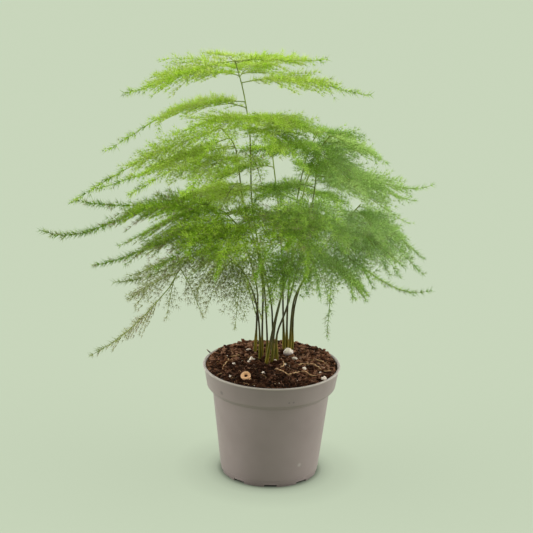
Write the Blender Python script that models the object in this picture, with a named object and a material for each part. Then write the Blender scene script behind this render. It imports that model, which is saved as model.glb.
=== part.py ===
"""A lace fern (Asparagus setaceus) growing in a 12 cm nursery pot.

Metres, +Z up. The origin is on the pot's axis, on the flat underside that the pot stands on.
The plant's front faces -Y and its leader leans to -X.
"""

import math
import random

import bmesh
import bpy
import numpy as np
from mathutils import Matrix, Vector, noise

MM = 0.001
UP = Vector((0.0, 0.0, 1.0))

# The pot: a thin moulded cup with a collar, a lip and nine drain slots at its foot.
POT_HEIGHT = 98.5 * MM
LIP_RADIUS = 60.0 * MM
LIP_DEPTH = 2.2 * MM
COLLAR_TOP_RADIUS = 58.8 * MM
COLLAR_FOOT_RADIUS = 56.2 * MM
COLLAR_FOOT = 80.5 * MM
WALL_TOP_RADIUS = 51.2 * MM
WALL_TOP = 76.0 * MM
FOOT_STEP = 6.0 * MM
FOOT_STEP_RADIUS = 43.3 * MM
FOOT_RADIUS = 42.3 * MM
WALL = 1.3 * MM
FLOOR = 1.5 * MM
POT_SIDES = 36
SLOTS = 9
FIRST_SLOT = math.radians(-88.0)
SLOT_HEIGHT = 2.2 * MM
SLOT_WIDTH = 11.0 * MM
SLOT_INNER_RADIUS = 33.0 * MM
SLOT_CUTTER_END = 47.0 * MM

# The soil: a plug that fills the pot, with a crumbly top.
CLEARANCE = 0.3 * MM
SOIL_RIM = 96.8 * MM
SOIL_CROWN = 100.6 * MM
SOIL_SIDES = 30
SOIL_HEAP = 4.4 * MM
HEAP_START = 0.2
HEAP_SLOPE = 0.3
HEAP_EDGE = 0.03
SOIL_RINGS = (0.95, 0.84, 0.66, 0.48, 0.30, 0.14)
CRUMB_HEIGHT = 1.5 * MM
LUMP_SPACING = 11.0 * MM
LUMP_HEIGHT = 1.0 * MM
HOLE_CLEARANCE = 0.35 * MM
HOLE_FLOOR = 78.0 * MM
HOLE_CUTTER = 40.0 * MM
RING_SEAT_CUTTER = 8.0 * MM

# What lies on the soil: a pale stone and a ring of bark, each half sunk in its seat.
STONE_PLACE = Vector((14.5, 20.0, 102.0)) * MM
STONE_HALF = Vector((4.6, 4.0, 3.7)) * MM
RING_PLACE = Vector((-22.0, -37.5, 101.2)) * MM
RING_RADIUS = 3.0 * MM
RING_THICKNESS = 1.5 * MM
RING_LEAN = math.radians(35)

# Stems: radius at the soil, above the sheath, and at the tip, and how deep they are rooted.
STEM_FOOT_RADIUS = 1.35 * MM
STEM_RADIUS = 0.85 * MM
STEM_TIP_RADIUS = 0.6 * MM
SHEATH_TOP = 118.0 * MM
STEM_SIDES = 5
STEM_STEP = 24.0 * MM
ROOTED_TO = 79.0 * MM

# Fronds: a three-sided rachis carries pairs of side twigs and short needles.
RACHIS_RADIUS = 0.6 * MM
RACHIS_TIP_RADIUS = 0.36 * MM
TWIG_ROOT = 1.5 * MM
STATION_STEP = 14.4 * MM
PETIOLE = 0.13
TWIG_FORWARD = 0.62
TWIG_SIDEWAYS = 0.78
NEEDLE = 4.5 * MM
FORKED_PAIRS = 1
MEMBER_GAP = 1.5 * MM
RACHIS_PIECE = 12.0
LAST_PAIR = 0.93
RACHIS_END = 0.985
# A frond's outline, in shares of its length and of its half width: how soon it swells, its body, its tail.
# The body ends sooner in a long frond than in a short one.
OUTLINE_START = 0.04
OUTLINE_SWELLING = 0.14
BODY_END = 0.8
SHORT_BODY_END = 0.97
SHORT_FROND = 60.0 * MM
LONG_FROND = 100.0 * MM
BODY_CURVE = 1.6
BODY_WIDTH = 1.1
TAIL_WIDTH = 0.16
# Twigs lie level at this height, rise above it and droop below it: leans by height, and the most.
LEVEL_TWIGS = 250.0 * MM
RISE_RATE = 1.2
DROOP_RATE = 3.5
MOST_RISE = 0.03
MOST_DROOP = 0.30
# Makes the tail's curve, t * t * (1 - t), one unit deep at its lowest.
TAIL_UNIT = 6.75

# Each leafy stem has its course, in mm from the soil up, and its fronds. A frond is given by the
# height it leaves the stem at, its heading in degrees from +X, how far it reaches, how much its tip
# rises, how much it arches, how much its tail sags before it levels out, and its half width.
# A minus sign marks a height on the way down, past the stem's highest point, and TIP its tip.
TIP = 999
LEAFY_STEMS = {
    "leafy_stem_01": {
        "course": (
            (-4, 4, 98), (-5, 4, 130), (-10, 2, 185), (-20, 0, 240), (-23, 0, 300), (-29, 0, 338),
            (-37, 0, 366),
        ),
        "fronds": (
            (365, -164, 93, -23, 7, 6, 38),
            (364, 120, 34, 2, 2, 0, 20),
            (365, 6, 77, 2, 3, 3, 27),
            (363, 50, 42, 0, 2, 0, 22),
            (352, 75, 76, 0, 6, 4, 34),
            (347, -12, 108, -3, 11, 5, 33),
            (353, -158, 54, 5, 4, 2, 30),
            (331, 175, 118, -48, 17, 4, 31),
            (326, 160, 60, -14, 8, 0, 16),
            (319, 140, 86, -30, 6, 4, 20),
            (316, -44, 66, 6, 7, 4, 38),
            (314, -114, 82, -7, 14, 4, 38),
            (308, 41, 92, -22, 12, 4, 32),
            (304, -60, 95, -11, 16, 4, 38),
            (288, -62, 26, -30, 4, 0, 13),
            (212, -100, 42, -34, 8, 0, 30),
            (205, -70, 40, -38, 8, 0, 24),
        ),
    },
    "leafy_stem_02": {
        "course": (
            (-9, 11, 98), (-9, 11, 130), (-11, 13, 180), (-28, 17, 240), (-35, 20, 285), (-48, 22, 303),
        ),
        "fronds": (
            (303, -161, 130, -57, 6, 0, 31),
            (295, 168, 117, -54, 1, 3, 30),
            (288, -137, 117, -24, 11, 6, 36),
            (278, -113, 110, -6, 11, 5, 36),
            (250, 150, 96, -42, 12, 4, 32),
            (244, 118, 96, -40, 12, 4, 32),
            (256, -104, 78, -12, 10, 4, 30),
            (206, -152, 54, -38, 8, 0, 20),
            (136, 178, 18, 38, 0, 0, 7),
        ),
    },
    "leafy_stem_03": {
        "course": ((1, 8, 98), (0, 5, 130), (-3, -3, 162), (-16, -22, 212), (-42, -38, 246)),
        "fronds": (
            (246, -177, 152, -17, 30, 28, 34),
            (246, -118, 62, -20, 8, 2, 30),
            (245, -40, 46, -8, 8, 0, 22),
            (238, -162, 118, -30, 8, 8, 34),
            (225, -138, 98, -12, 13, 5, 32),
            (232, -101, 90, -18, 16, 5, 32),
            (222, -163, 115, -32, 4, 8, 24),
            (243, 157, 148, -6, 6, 6, 20),
            (243, 18, 40, -2, 5, 0, 20),
        ),
    },
    "leafy_stem_04": {
        "course": ((-5, -4, 98), (0, -7, 132), (6, -11, 162), (18, -22, 212), (30, -34, 255)),
        "fronds": (
            (255, -94, 80, -42, 20, 3, 34),
            (248, -118, 96, -36, 20, 3, 32),
            (240, -66, 76, -8, 14, 5, 32),
            (232, -99, 100, 12, 10, 6, 30),
            (225, -62, 38, -48, 12, 0, 22),
            (205, -122, 42, -40, 8, 0, 24),
        ),
    },
    "leafy_stem_05": {
        "course": (
            (0, -1, 98), (2, -1, 134), (7, 2, 162), (14, 12, 215), (24, 22, 275), (34, 28, 300),
        ),
        "fronds": (
            (300, 52, 56, -22, 6, 3, 28),
            (290, -75, 72, -14, 12, 5, 34),
            (288, -160, 38, -6, 5, 0, 26),
            (268, 66, 84, -36, 10, 4, 30),
            (254, -136, 54, -4, 6, 2, 22),
            (215, -72, 46, -42, 8, 0, 28),
            (203, -89, 38, -38, 8, 0, 26),
        ),
    },
    "leafy_stem_06": {
        "course": (
            (5, 4, 98), (4, 5, 124), (14, 8, 156), (31, 10, 240), (35, 8, 285), (44, 4, 303),
        ),
        "fronds": (
            (303, 4, 50, -24, 3, 0, 26),
            (297, 47, 52, -18, 4, 3, 28),
            (286, -58, 74, -20, 6, 5, 24),
            (270, -10, 100, -4, 8, 12, 38),
            (266, -24, 92, -9, 8, 6, 30),
            (262, -40, 100, -17, 12, 6, 32),
            (256, 172, 50, -12, 8, 2, 22),
            (205, -58, 46, -40, 8, 0, 28),
        ),
    },
    "leafy_stem_07": {
        "course": ((11, 35, 98), (9, 36, 136), (8, 38, 162), (4, 50, 215), (-4, 62, 272)),
        "fronds": (
            (272, 105, 68, -32, 14, 3, 34),
            (260, 145, 78, -34, 12, 4, 32),
            (240, 86, 82, -36, 13, 4, 34),
            (217, 118, 76, -40, 13, 3, 30),
            (196, -160, 60, -38, 8, 0, 20),
        ),
    },
    "leafy_stem_08": {
        "course": ((13, 30, 98), (13, 30, 150), (17, 34, 200), (26, 44, 250), (38, 58, 275)),
        "fronds": (
            (275, 84, 70, -30, 12, 3, 32),
            (264, 30, 76, -30, 12, 4, 32),
            (240, 62, 90, -38, 13, 4, 32),
            (224, 100, 80, -42, 13, 3, 30),
            (200, 4, 62, -46, 8, 0, 28),
        ),
    },
    "leafy_stem_09": {
        "course": ((16, 27, 98), (17, 26, 140), (24, 22, 165), (50, 10, 215), (72, 0, 245)),
        "fronds": (
            (243, -18, 20, -12, 3, 0, 12),
            (240, -30, 66, -46, 4, 3, 25),
            (237, -8, 62, -38, 9, 2, 28),
            (236, -77, 90, 4, 10, 6, 32),
            (230, -50, 58, -36, 10, 3, 26),
            (226, -80, 52, -53, 12, 0, 26),
            (216, -52, 54, -36, 10, 2, 26),
            (219, -103, 26, -90, 8, 0, 14),
            (194, -22, 46, -36, 8, 0, 26),
        ),
    },
    "leafy_stem_10": {
        "course": ((18, 33, 98), (19, 34, 140), (30, 38, 170), (60, 47, 205), (84, 52, 218)),
        "fronds": (
            (212, -6, 46, -38, 4, 2, 20),
            (211, -48, 60, -32, 10, 3, 26),
            (205, 59, 56, -36, 12, 3, 30),
            (194, -10, 90, -34, -2, 10, 14),
            (184, 24, 50, -42, 6, 0, 28),
        ),
    },
    "leafy_stem_11": {
        "course": ((-15, 25, 98), (-14, 26, 130), (-15, 30, 160), (-30, 44, 200), (-58, 58, 222)),
        "fronds": (
            (222, 163, 88, -46, 8, 4, 32),
            (216, -168, 84, -42, 14, 4, 28),
            (218, 122, 82, -30, 13, 4, 32),
            (203, 98, 84, -34, 13, 4, 32),
            (188, 150, 62, -36, 12, 3, 26),
            (132, 165, 13, 40, 0, 0, 6),
        ),
    },
    "leafy_stem_12": {
        "course": (
            (-10, 6, 98), (-12, 4, 135), (-18, 0, 165), (-32, -8, 192), (-54, -17, 206),
            (-75, -24, 197), (-88, -28, 176),
        ),
        "fronds": (
            (TIP, -171, 68, -60, -7, 0, 22),
            (-201, -165, 56, -14, 5, 3, 26),
            (-188, -163, 44, -20, 4, 3, 30),
            (-183, -120, 12, -34, 3, 0, 12),
            (-192, -38, 26, -38, 3, 0, 16),
            (204, -112, 46, -26, 8, 3, 26),
            (200, -75, 40, -34, 8, 2, 26),
            (185, -96, 45, -38, 8, 2, 24),
            (196, -120, 42, -36, 8, 0, 24),
        ),
    },
}


def clear_scene():
    for old in list(bpy.data.objects):
        bpy.data.objects.remove(old, do_unlink=True)


def paint(obj, name, colour, roughness):
    """Gives the object a material of its own."""
    material = bpy.data.materials.new(name)
    material.use_nodes = True
    surface = material.node_tree.nodes["Principled BSDF"]
    surface.inputs["Base Color"].default_value = (*colour, 1.0)
    surface.inputs["Roughness"].default_value = roughness
    surface.inputs["Metallic"].default_value = 0.0
    material.diffuse_color = (*colour, 1.0)
    obj.data.materials.clear()
    obj.data.materials.append(material)


def object_from(name, bm):
    """Turns a bmesh into a named object in the scene."""
    bmesh.ops.recalc_face_normals(bm, faces=bm.faces)
    mesh = bpy.data.meshes.new(name)
    bm.to_mesh(mesh)
    bm.free()
    obj = bpy.data.objects.new(name, mesh)
    bpy.context.scene.collection.objects.link(obj)
    return obj


def apply_modifiers(obj):
    """Makes the object's evaluated mesh its own mesh."""
    graph = bpy.context.evaluated_depsgraph_get()
    made = bpy.data.meshes.new_from_object(obj.evaluated_get(graph))
    obj.modifiers.clear()
    obj.data = made


def boolean_with(obj, others, operation, solver="EXACT"):
    """Joins the others to the object, or cuts them from it, and removes them."""
    group = bpy.data.collections.new("boolean")
    bpy.context.scene.collection.children.link(group)
    for other in others:
        bpy.context.scene.collection.objects.unlink(other)
        group.objects.link(other)
    modifier = obj.modifiers.new("boolean", "BOOLEAN")
    modifier.operation = operation
    modifier.operand_type = "COLLECTION"
    modifier.collection = group
    modifier.solver = solver
    apply_modifiers(obj)
    for other in others:
        bpy.data.objects.remove(other, do_unlink=True)
    bpy.data.collections.remove(group)


def turned(name, profile, sides):
    """A solid of revolution from (radius, height) points that run down its outer side."""
    mesh = bpy.data.meshes.new(name)
    points = [(radius, 0.0, height) for radius, height in profile]
    mesh.from_pydata(points, [(i, i + 1) for i in range(len(points) - 1)], [])
    obj = bpy.data.objects.new(name, mesh)
    bpy.context.scene.collection.objects.link(obj)
    screw = obj.modifiers.new("turn", "SCREW")
    screw.steps = sides
    screw.render_steps = sides
    screw.use_merge_vertices = True
    screw.merge_threshold = 0.00005
    apply_modifiers(obj)
    return obj


def inner_wall():
    """(radius, height) points of the pot's inner wall, from the floor up."""
    return [
        (FOOT_RADIUS - WALL, FLOOR),
        (FOOT_STEP_RADIUS - WALL, FOOT_STEP + WALL),
        (WALL_TOP_RADIUS - WALL, WALL_TOP + WALL),
        (COLLAR_FOOT_RADIUS - WALL, COLLAR_FOOT + WALL),
        (COLLAR_TOP_RADIUS - WALL, POT_HEIGHT - LIP_DEPTH),
        (COLLAR_TOP_RADIUS - 0.6 * WALL, POT_HEIGHT),
    ]


def make_pot():
    outer_wall = [
        (LIP_RADIUS - 0.3 * MM, POT_HEIGHT),
        (LIP_RADIUS, POT_HEIGHT - 0.3 * LIP_DEPTH),
        (LIP_RADIUS - 0.1 * MM, POT_HEIGHT - LIP_DEPTH),
        (COLLAR_TOP_RADIUS, POT_HEIGHT - 1.15 * LIP_DEPTH),
        (COLLAR_FOOT_RADIUS, COLLAR_FOOT),
        (WALL_TOP_RADIUS, WALL_TOP),
        (FOOT_STEP_RADIUS, FOOT_STEP),
        (FOOT_STEP_RADIUS - 0.4 * MM, FOOT_STEP - 0.4 * MM),
        (FOOT_RADIUS, 0.0),
    ]
    profile = [(0.0, FLOOR), *inner_wall(), *outer_wall, (0.0, 0.0)]
    pot = turned("pot", profile, POT_SIDES)
    slots = []
    for turn in range(SLOTS):
        bm = bmesh.new()
        length = SLOT_CUTTER_END - SLOT_INNER_RADIUS
        bmesh.ops.create_cube(bm, size=1.0)
        bmesh.ops.scale(bm, vec=(length, SLOT_WIDTH, 2.0 * SLOT_HEIGHT), verts=bm.verts)
        bmesh.ops.translate(bm, vec=(SLOT_INNER_RADIUS + length / 2, 0.0, 0.0), verts=bm.verts)
        heading = FIRST_SLOT + turn * math.tau / SLOTS
        bmesh.ops.rotate(bm, cent=(0, 0, 0), matrix=Matrix.Rotation(heading, 3, "Z"), verts=bm.verts)
        slots.append(object_from(f"slot_{turn}", bm))
    boolean_with(pot, slots, "DIFFERENCE")
    pot.data.shade_smooth()
    pot.data.set_sharp_from_angle(angle=math.radians(30))
    paint(pot, "pot plastic", (0.16, 0.145, 0.12), 0.5)


def soil_height(x, y):
    """Height of the soil's top: a low crown with lumps, level with the rim, heaped at the back."""
    share = min(1.0, math.hypot(x, y) / (COLLAR_TOP_RADIUS - WALL))
    lumps = noise.noise(Vector((x, y, 0.0)) / LUMP_SPACING) * LUMP_HEIGHT
    back = min(1.0, max(0.0, (y / COLLAR_TOP_RADIUS - HEAP_START) / HEAP_SLOPE))
    heap = SOIL_HEAP * back * share**6 * min(1.0, (1.0 - share) / HEAP_EDGE)
    return SOIL_CROWN + (SOIL_RIM - SOIL_CROWN) * share**2 + lumps * (1.0 - share**4) + heap


def make_soil(stems):
    """The plug, with plain holes for the stems and seats for the stone and the ring."""
    bm = bmesh.new()

    def ring(radius, height=None):
        verts = []
        for side in range(SOIL_SIDES):
            angle = side * math.tau / SOIL_SIDES
            x = radius * math.cos(angle)
            y = radius * math.sin(angle)
            verts.append(bm.verts.new((x, y, soil_height(x, y) if height is None else height)))
        return verts

    def bridge(lower, upper):
        faces = []
        for side in range(SOIL_SIDES):
            after = (side + 1) % SOIL_SIDES
            faces.append(bm.faces.new((lower[side], lower[after], upper[after], upper[side])))
        return faces

    wall = inner_wall()
    flat_side = math.cos(math.pi / POT_SIDES)
    rings = []
    for radius, height in wall[:-1]:
        height = min(height + CLEARANCE, SOIL_RIM)
        rings.append(ring(radius * flat_side - CLEARANCE, height))
    bm.faces.new(rings[0])
    for lower, upper in zip(rings, rings[1:]):
        bridge(lower, upper)
    top_faces = []
    rim_radius = COLLAR_TOP_RADIUS - WALL
    before = rings[-1]
    for share in SOIL_RINGS:
        inner = ring(rim_radius * share)
        top_faces += bridge(before, inner)
        before = inner
    top_faces.append(bm.faces.new(before))
    draw = random.Random(4)
    for vert in bmesh.ops.poke(bm, faces=top_faces)["verts"]:
        vert.co.z += draw.uniform(-0.3, 1.0) * CRUMB_HEIGHT
    soil = object_from("soil", bm)

    cutters = []
    for name, stem in stems.items():
        radius = STEM_FOOT_RADIUS + HOLE_CLEARANCE
        foot, above = stem["line"][0], stem["line"][1]
        lean = (above - foot).normalized()
        bm = bmesh.new()
        bmesh.ops.create_cone(
            bm, cap_ends=True, segments=8, radius1=radius, radius2=radius, depth=HOLE_CUTTER
        )
        turn = UP.rotation_difference(lean).to_matrix()
        bmesh.ops.rotate(bm, cent=(0, 0, 0), matrix=turn, verts=bm.verts)
        middle = foot + lean * (HOLE_CUTTER / 2 - (ROOTED_TO - HOLE_FLOOR))
        bmesh.ops.translate(bm, vec=middle, verts=bm.verts)
        cutters.append(object_from(f"hole_{name}", bm))
    cutters.append(stone_solid("stone_seat", CLEARANCE))
    bm = bmesh.new()
    seat_radius = RING_RADIUS + RING_THICKNESS + CLEARANCE
    bmesh.ops.create_cone(
        bm, cap_ends=True, segments=16, radius1=seat_radius, radius2=seat_radius, depth=RING_SEAT_CUTTER
    )
    seat_floor = RING_PLACE.z - RING_RADIUS * math.sin(RING_LEAN) - RING_THICKNESS - CLEARANCE
    middle = (RING_PLACE.x, RING_PLACE.y, seat_floor + RING_SEAT_CUTTER / 2)
    bmesh.ops.translate(bm, vec=middle, verts=bm.verts)
    cutters.append(object_from("ring_seat", bm))
    boolean_with(soil, cutters, "DIFFERENCE")
    paint(soil, "potting soil", (0.05, 0.025, 0.015), 0.95)


def stone_solid(name, grown):
    """The pale stone, or the same shape grown evenly for its seat."""
    bm = bmesh.new()
    bmesh.ops.create_icosphere(bm, subdivisions=2, radius=1.0)
    draw = random.Random(9)
    for vert in bm.verts:
        rough = 1.0 + draw.uniform(-0.07, 0.07)
        vert.co = Vector(rough * side * (half + grown) for side, half in zip(vert.co, STONE_HALF))
    bmesh.ops.translate(bm, vec=STONE_PLACE, verts=bm.verts)
    return object_from(name, bm)


def make_stone():
    stone = stone_solid("pale_stone", 0.0)
    stone.data.shade_smooth()
    paint(stone, "pale stone", (0.62, 0.55, 0.46), 0.8)


def make_ring():
    """A curl of tan bark that leans on the soil by the front rim, its back edge up."""
    bm = bmesh.new()
    around, across = 14, 6
    rows = []
    for turn in range(around):
        angle = turn * math.tau / around
        outward = Vector((math.cos(angle), math.sin(angle), 0.0))
        row = []
        for side in range(across):
            tilt = side * math.tau / across
            out = RING_RADIUS + RING_THICKNESS * math.cos(tilt)
            row.append(bm.verts.new(outward * out + UP * RING_THICKNESS * math.sin(tilt)))
        rows.append(row)
    for turn in range(around):
        one, two = rows[turn], rows[(turn + 1) % around]
        for side in range(across):
            after = (side + 1) % across
            bm.faces.new((one[side], two[side], two[after], one[after]))
    bmesh.ops.rotate(bm, cent=(0, 0, 0), matrix=Matrix.Rotation(RING_LEAN, 3, "X"), verts=bm.verts)
    bmesh.ops.translate(bm, vec=RING_PLACE, verts=bm.verts)
    ring = object_from("bark_curl", bm)
    ring.data.shade_smooth()
    paint(ring, "tan bark", (0.52, 0.30, 0.15), 0.8)


def smooth_course(points):
    """A Catmull-Rom curve through the points, rooted below the soil, read every STEM_STEP or so."""
    course = [Vector(point) * MM for point in points]
    lean = (course[1] - course[0]).normalized()
    course.insert(0, course[0] + lean * ((ROOTED_TO - course[0].z) / lean.z))
    ends = [2 * course[0] - course[1], *course, 2 * course[-1] - course[-2]]
    line = []
    for a, b, c, d in zip(ends, ends[1:], ends[2:], ends[3:]):
        pieces = max(1, round((c - b).length / STEM_STEP))
        for piece in range(pieces):
            t = piece / pieces
            bend = (2 * a - 5 * b + 4 * c - d) * t**2
            swing = (3 * b - a - 3 * c + d) * t**3
            line.append(0.5 * (2 * b + (c - a) * t + bend + swing))
    line.append(course[-1])
    return line


def stem_radius(height, top):
    """Thick and fleshy at the soil, then slender, and thinner towards the top."""
    if height < SHEATH_TOP:
        return STEM_FOOT_RADIUS
    share = (height - SHEATH_TOP) / (top - SHEATH_TOP)
    return STEM_RADIUS + (STEM_TIP_RADIUS - STEM_RADIUS) * max(0.0, min(1.0, share))


def point_at_height(line, height):
    """The stem's point at this height, looked for from its tip where the height is negative."""
    if height < 0.0:
        line = line[::-1]
        height = -height
    for low, high in zip(line, line[1:]):
        if low.z <= height <= high.z:
            return low.lerp(high, (height - low.z) / (high.z - low.z))
    return line[0 if line[0].z > height else -1].copy()


def frond_line(start, frond):
    """Points along a rachis: an arch with a tail that sags and then levels out."""
    _, heading, reach, rise, arch, tail, _ = frond
    pieces = max(4, round(reach / RACHIS_PIECE))
    angle = math.radians(heading)
    along = Vector((math.cos(angle), math.sin(angle), 0.0))
    points = []
    for piece in range(pieces + 1):
        t = piece / pieces
        height = rise * t + arch * math.sin(math.pi * t) - tail * TAIL_UNIT * t * t * (1.0 - t)
        points.append(start + along * reach * t * MM + UP * height * MM)
    return points


class Members:
    """The straight members placed so far, each with its stem's name, to keep the stems apart."""

    def __init__(self):
        self.starts = np.empty((0, 3))
        self.ends = np.empty((0, 3))
        self.owners = np.empty(0, dtype=object)

    def add(self, owner, points):
        pairs = np.array([[*a, *b] for a, b in zip(points, points[1:])])
        self.starts = np.vstack([self.starts, pairs[:, :3]])
        self.ends = np.vstack([self.ends, pairs[:, 3:]])
        self.owners = np.append(self.owners, [owner] * len(pairs))

    def gap(self, owner, start, end):
        """Smallest distance from a member to any member of another stem."""
        others = self.owners != owner
        if not others.any():
            return 1.0
        p, q = self.starts[others], self.ends[others]
        u = np.array(end - start)
        v = q - p
        w = np.array(start) - p
        a = u @ u
        b = v @ u
        c = (v * v).sum(axis=1)
        d = w @ u
        e = (v * w).sum(axis=1)
        slope = a * c - b * b
        s = np.where(slope > 1e-14, (b * e - c * d) / np.maximum(slope, 1e-14), 0.0)
        s = np.clip(s, 0.0, 1.0)
        t = np.clip((b * s + e) / np.maximum(c, 1e-14), 0.0, 1.0)
        s = np.clip((b * t - d) / max(a, 1e-14), 0.0, 1.0)
        between = w + s[:, None] * u - t[:, None] * v
        return float(np.sqrt((between**2).sum(axis=1).min()))


def twig_lean(height):
    """How far a frond's twigs rise from its plane: up in the top fronds, and down in the low ones."""
    if height > LEVEL_TWIGS:
        return min(MOST_RISE, (height - LEVEL_TWIGS) * RISE_RATE)
    return max(-MOST_DROOP, (height - LEVEL_TWIGS) * DROOP_RATE)


def body_end(reach):
    """Where a frond's body ends: a long frond has a narrow tail along its outer third."""
    long = min(1.0, max(0.0, (reach - SHORT_FROND) / (LONG_FROND - SHORT_FROND)))
    return SHORT_BODY_END + (BODY_END - SHORT_BODY_END) * long


def half_width_at(share, half_width, reach):
    """The frond's outline: broad near its base, and narrow past the end of its body."""
    swelling = min(1.0, (share - OUTLINE_START) / OUTLINE_SWELLING)
    body = BODY_WIDTH * max(0.0, 1.0 - (share / body_end(reach)) ** BODY_CURVE)
    return half_width * MM * swelling * (body + TAIL_WIDTH * (1.0 - share))


def along_line(line, share):
    """The point at a share of the way along the line, and the direction there."""
    place = share * (len(line) - 1)
    index = min(int(place), len(line) - 2)
    a, b = line[index], line[index + 1]
    return a.lerp(b, place - index), (b - a).normalized()


def free_tip(members, owner, root, aim, length):
    """The tip of a twig or needle, tilted or shortened where it would touch another stem's."""
    for size in (1.0, 0.6):
        for tilt in (0.0, 0.22, -0.22, 0.45, -0.45):
            tip = root + (aim + UP * tilt).normalized() * length * size
            if members.gap(owner, root + (tip - root) * 0.1, tip) > MEMBER_GAP:
                return tip
    return None


def make_frond(name, members, owner, line, half_width):
    """A rachis with side twigs in pairs, the first pair forked, and a needle under each pair."""
    reach = sum((b - a).length for a, b in zip(line, line[1:]))
    lean = twig_lean(line[0].z)
    stations = max(4, round(reach * (1.0 - PETIOLE) / STATION_STEP))
    half_root = TWIG_ROOT / 2 / reach
    shares = [0.0]
    for station in range(stations):
        share = PETIOLE + (LAST_PAIR - PETIOLE) * station / (stations - 1)
        shares += [share - half_root, share + half_root]
    shares.append(RACHIS_END)

    bm = bmesh.new()
    rings = []
    for share in shares:
        point, forward = along_line(line, share)
        side = forward.cross(UP).normalized()
        over = side.cross(forward)
        radius = RACHIS_RADIUS + (RACHIS_TIP_RADIUS - RACHIS_RADIUS) * share
        corners = []
        for angle in (math.radians(90), math.radians(210), math.radians(330)):
            outward = side * math.cos(angle) + over * math.sin(angle)
            corners.append(bm.verts.new(point + radius * outward))
        rings.append(corners)
    bm.faces.new(rings[0])
    end = bm.faces.new(rings[-1])
    spans = []
    for one, two in zip(rings, rings[1:]):
        left = bm.faces.new((one[0], one[1], two[1], two[0]))
        under = bm.faces.new((one[1], one[2], two[2], two[1]))
        right = bm.faces.new((one[2], one[0], two[0], two[2]))
        spans.append((left, under, right))

    def spike(face, tip):
        bmesh.ops.poke(bm, faces=[face])["verts"][0].co = tip

    def forked(face, fork, twig_tip, needle_tip):
        """Draws the face out to the fork, and from there two spikes."""
        top = bmesh.ops.extrude_discrete_faces(bm, faces=[face])["faces"][0]
        middle = top.calc_center_median()
        for vert in top.verts:
            vert.co = fork + (vert.co - middle) * 0.6
        halves = bmesh.ops.triangulate(bm, faces=[top])["faces"]
        toward = needle_tip - twig_tip
        halves.sort(key=lambda half: half.calc_center_median().dot(toward))
        spike(halves[0], twig_tip)
        spike(halves[1], needle_tip)

    for station in range(stations):
        share = (shares[2 * station + 1] + shares[2 * station + 2]) / 2
        point, forward = along_line(line, share)
        side = forward.cross(UP).normalized()
        left, under, right = spans[2 * station + 1]
        width = max(half_width_at(share, half_width, reach), 0.7 * NEEDLE)
        for face, hand in ((left, -1.0), (right, 1.0)):
            aim = (forward * TWIG_FORWARD + side * hand * TWIG_SIDEWAYS + UP * lean).normalized()
            tip = free_tip(members, owner, point, aim, width)
            if tip is None:
                continue
            members.add(owner, [point + (tip - point) * 0.1, tip])
            fork = point.lerp(tip, 0.5)
            needle_tip = fork + (forward * 0.95 + UP * 0.3) * NEEDLE
            alone = members.gap(owner, fork, needle_tip) > MEMBER_GAP
            if station < FORKED_PAIRS and width > 3.0 * NEEDLE and alone:
                members.add(owner, [fork, needle_tip])
                forked(face, fork, tip, needle_tip)
            else:
                spike(face, tip)
        needle_tip = free_tip(members, owner, point, (forward * 0.7 - UP * 0.7).normalized(), NEEDLE)
        if needle_tip is not None:
            members.add(owner, [point, needle_tip])
            spike(under, needle_tip)
    point, forward = along_line(line, 1.0)
    spike(end, point)
    return object_from(name, bm)


def make_stem_tube(name, line):
    """The bare stem: a tapering tube round its course, pointed at the tip."""
    bm = bmesh.new()
    rings = []
    side = Vector((1.0, 0.0, 0.0))
    for index, point in enumerate(line):
        before = line[max(index - 1, 0)]
        after = line[min(index + 1, len(line) - 1)]
        forward = (after - before).normalized()
        side = (side - forward * side.dot(forward)).normalized()
        over = forward.cross(side)
        radius = stem_radius(point.z, max(place.z for place in line))
        corners = []
        for turn in range(STEM_SIDES):
            angle = turn * math.tau / STEM_SIDES
            outward = side * math.cos(angle) + over * math.sin(angle)
            corners.append(bm.verts.new(point + radius * outward))
        rings.append(corners)
    bm.faces.new(rings[0])
    bm.faces.new(rings[-1])
    for one, two in zip(rings, rings[1:]):
        for turn in range(STEM_SIDES):
            after = (turn + 1) % STEM_SIDES
            bm.faces.new((one[turn], one[after], two[after], two[turn]))
    return object_from(name, bm)


def make_leafy_stems(stems):
    """Every stem with its fronds joined to it, their twigs kept clear of the other stems."""
    members = Members()
    for name, stem in stems.items():
        members.add(name, stem["line"])
    for name, stem in stems.items():
        for frond in LEAFY_STEMS[name]["fronds"]:
            start = point_at_height(stem["line"], frond[0] * MM)
            line = frond_line(start, frond)
            members.add(name, line[1:])
            stem["fronds"].append(line)
    for name, stem in stems.items():
        obj = make_stem_tube(name, stem["line"])
        fronds = []
        for index, line in enumerate(stem["fronds"]):
            half_width = LEAFY_STEMS[name]["fronds"][index][-1]
            fronds.append(make_frond(f"frond_{index}", members, name, line, half_width))
        boolean_with(obj, fronds, "UNION")
        paint(obj, f"{name} green", (0.16, 0.34, 0.05), 0.6)


def main():
    clear_scene()
    make_pot()
    stems = {}
    for name, plan in LEAFY_STEMS.items():
        stems[name] = {"line": smooth_course(plan["course"]), "fronds": []}
    make_soil(stems)
    make_stone()
    make_ring()
    make_leafy_stems(stems)


main()
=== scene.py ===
"""The looks of a lace fern in its nursery pot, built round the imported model."""
import math
import random

import bmesh
import bpy
from mathutils import Matrix, Vector, noise


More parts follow.
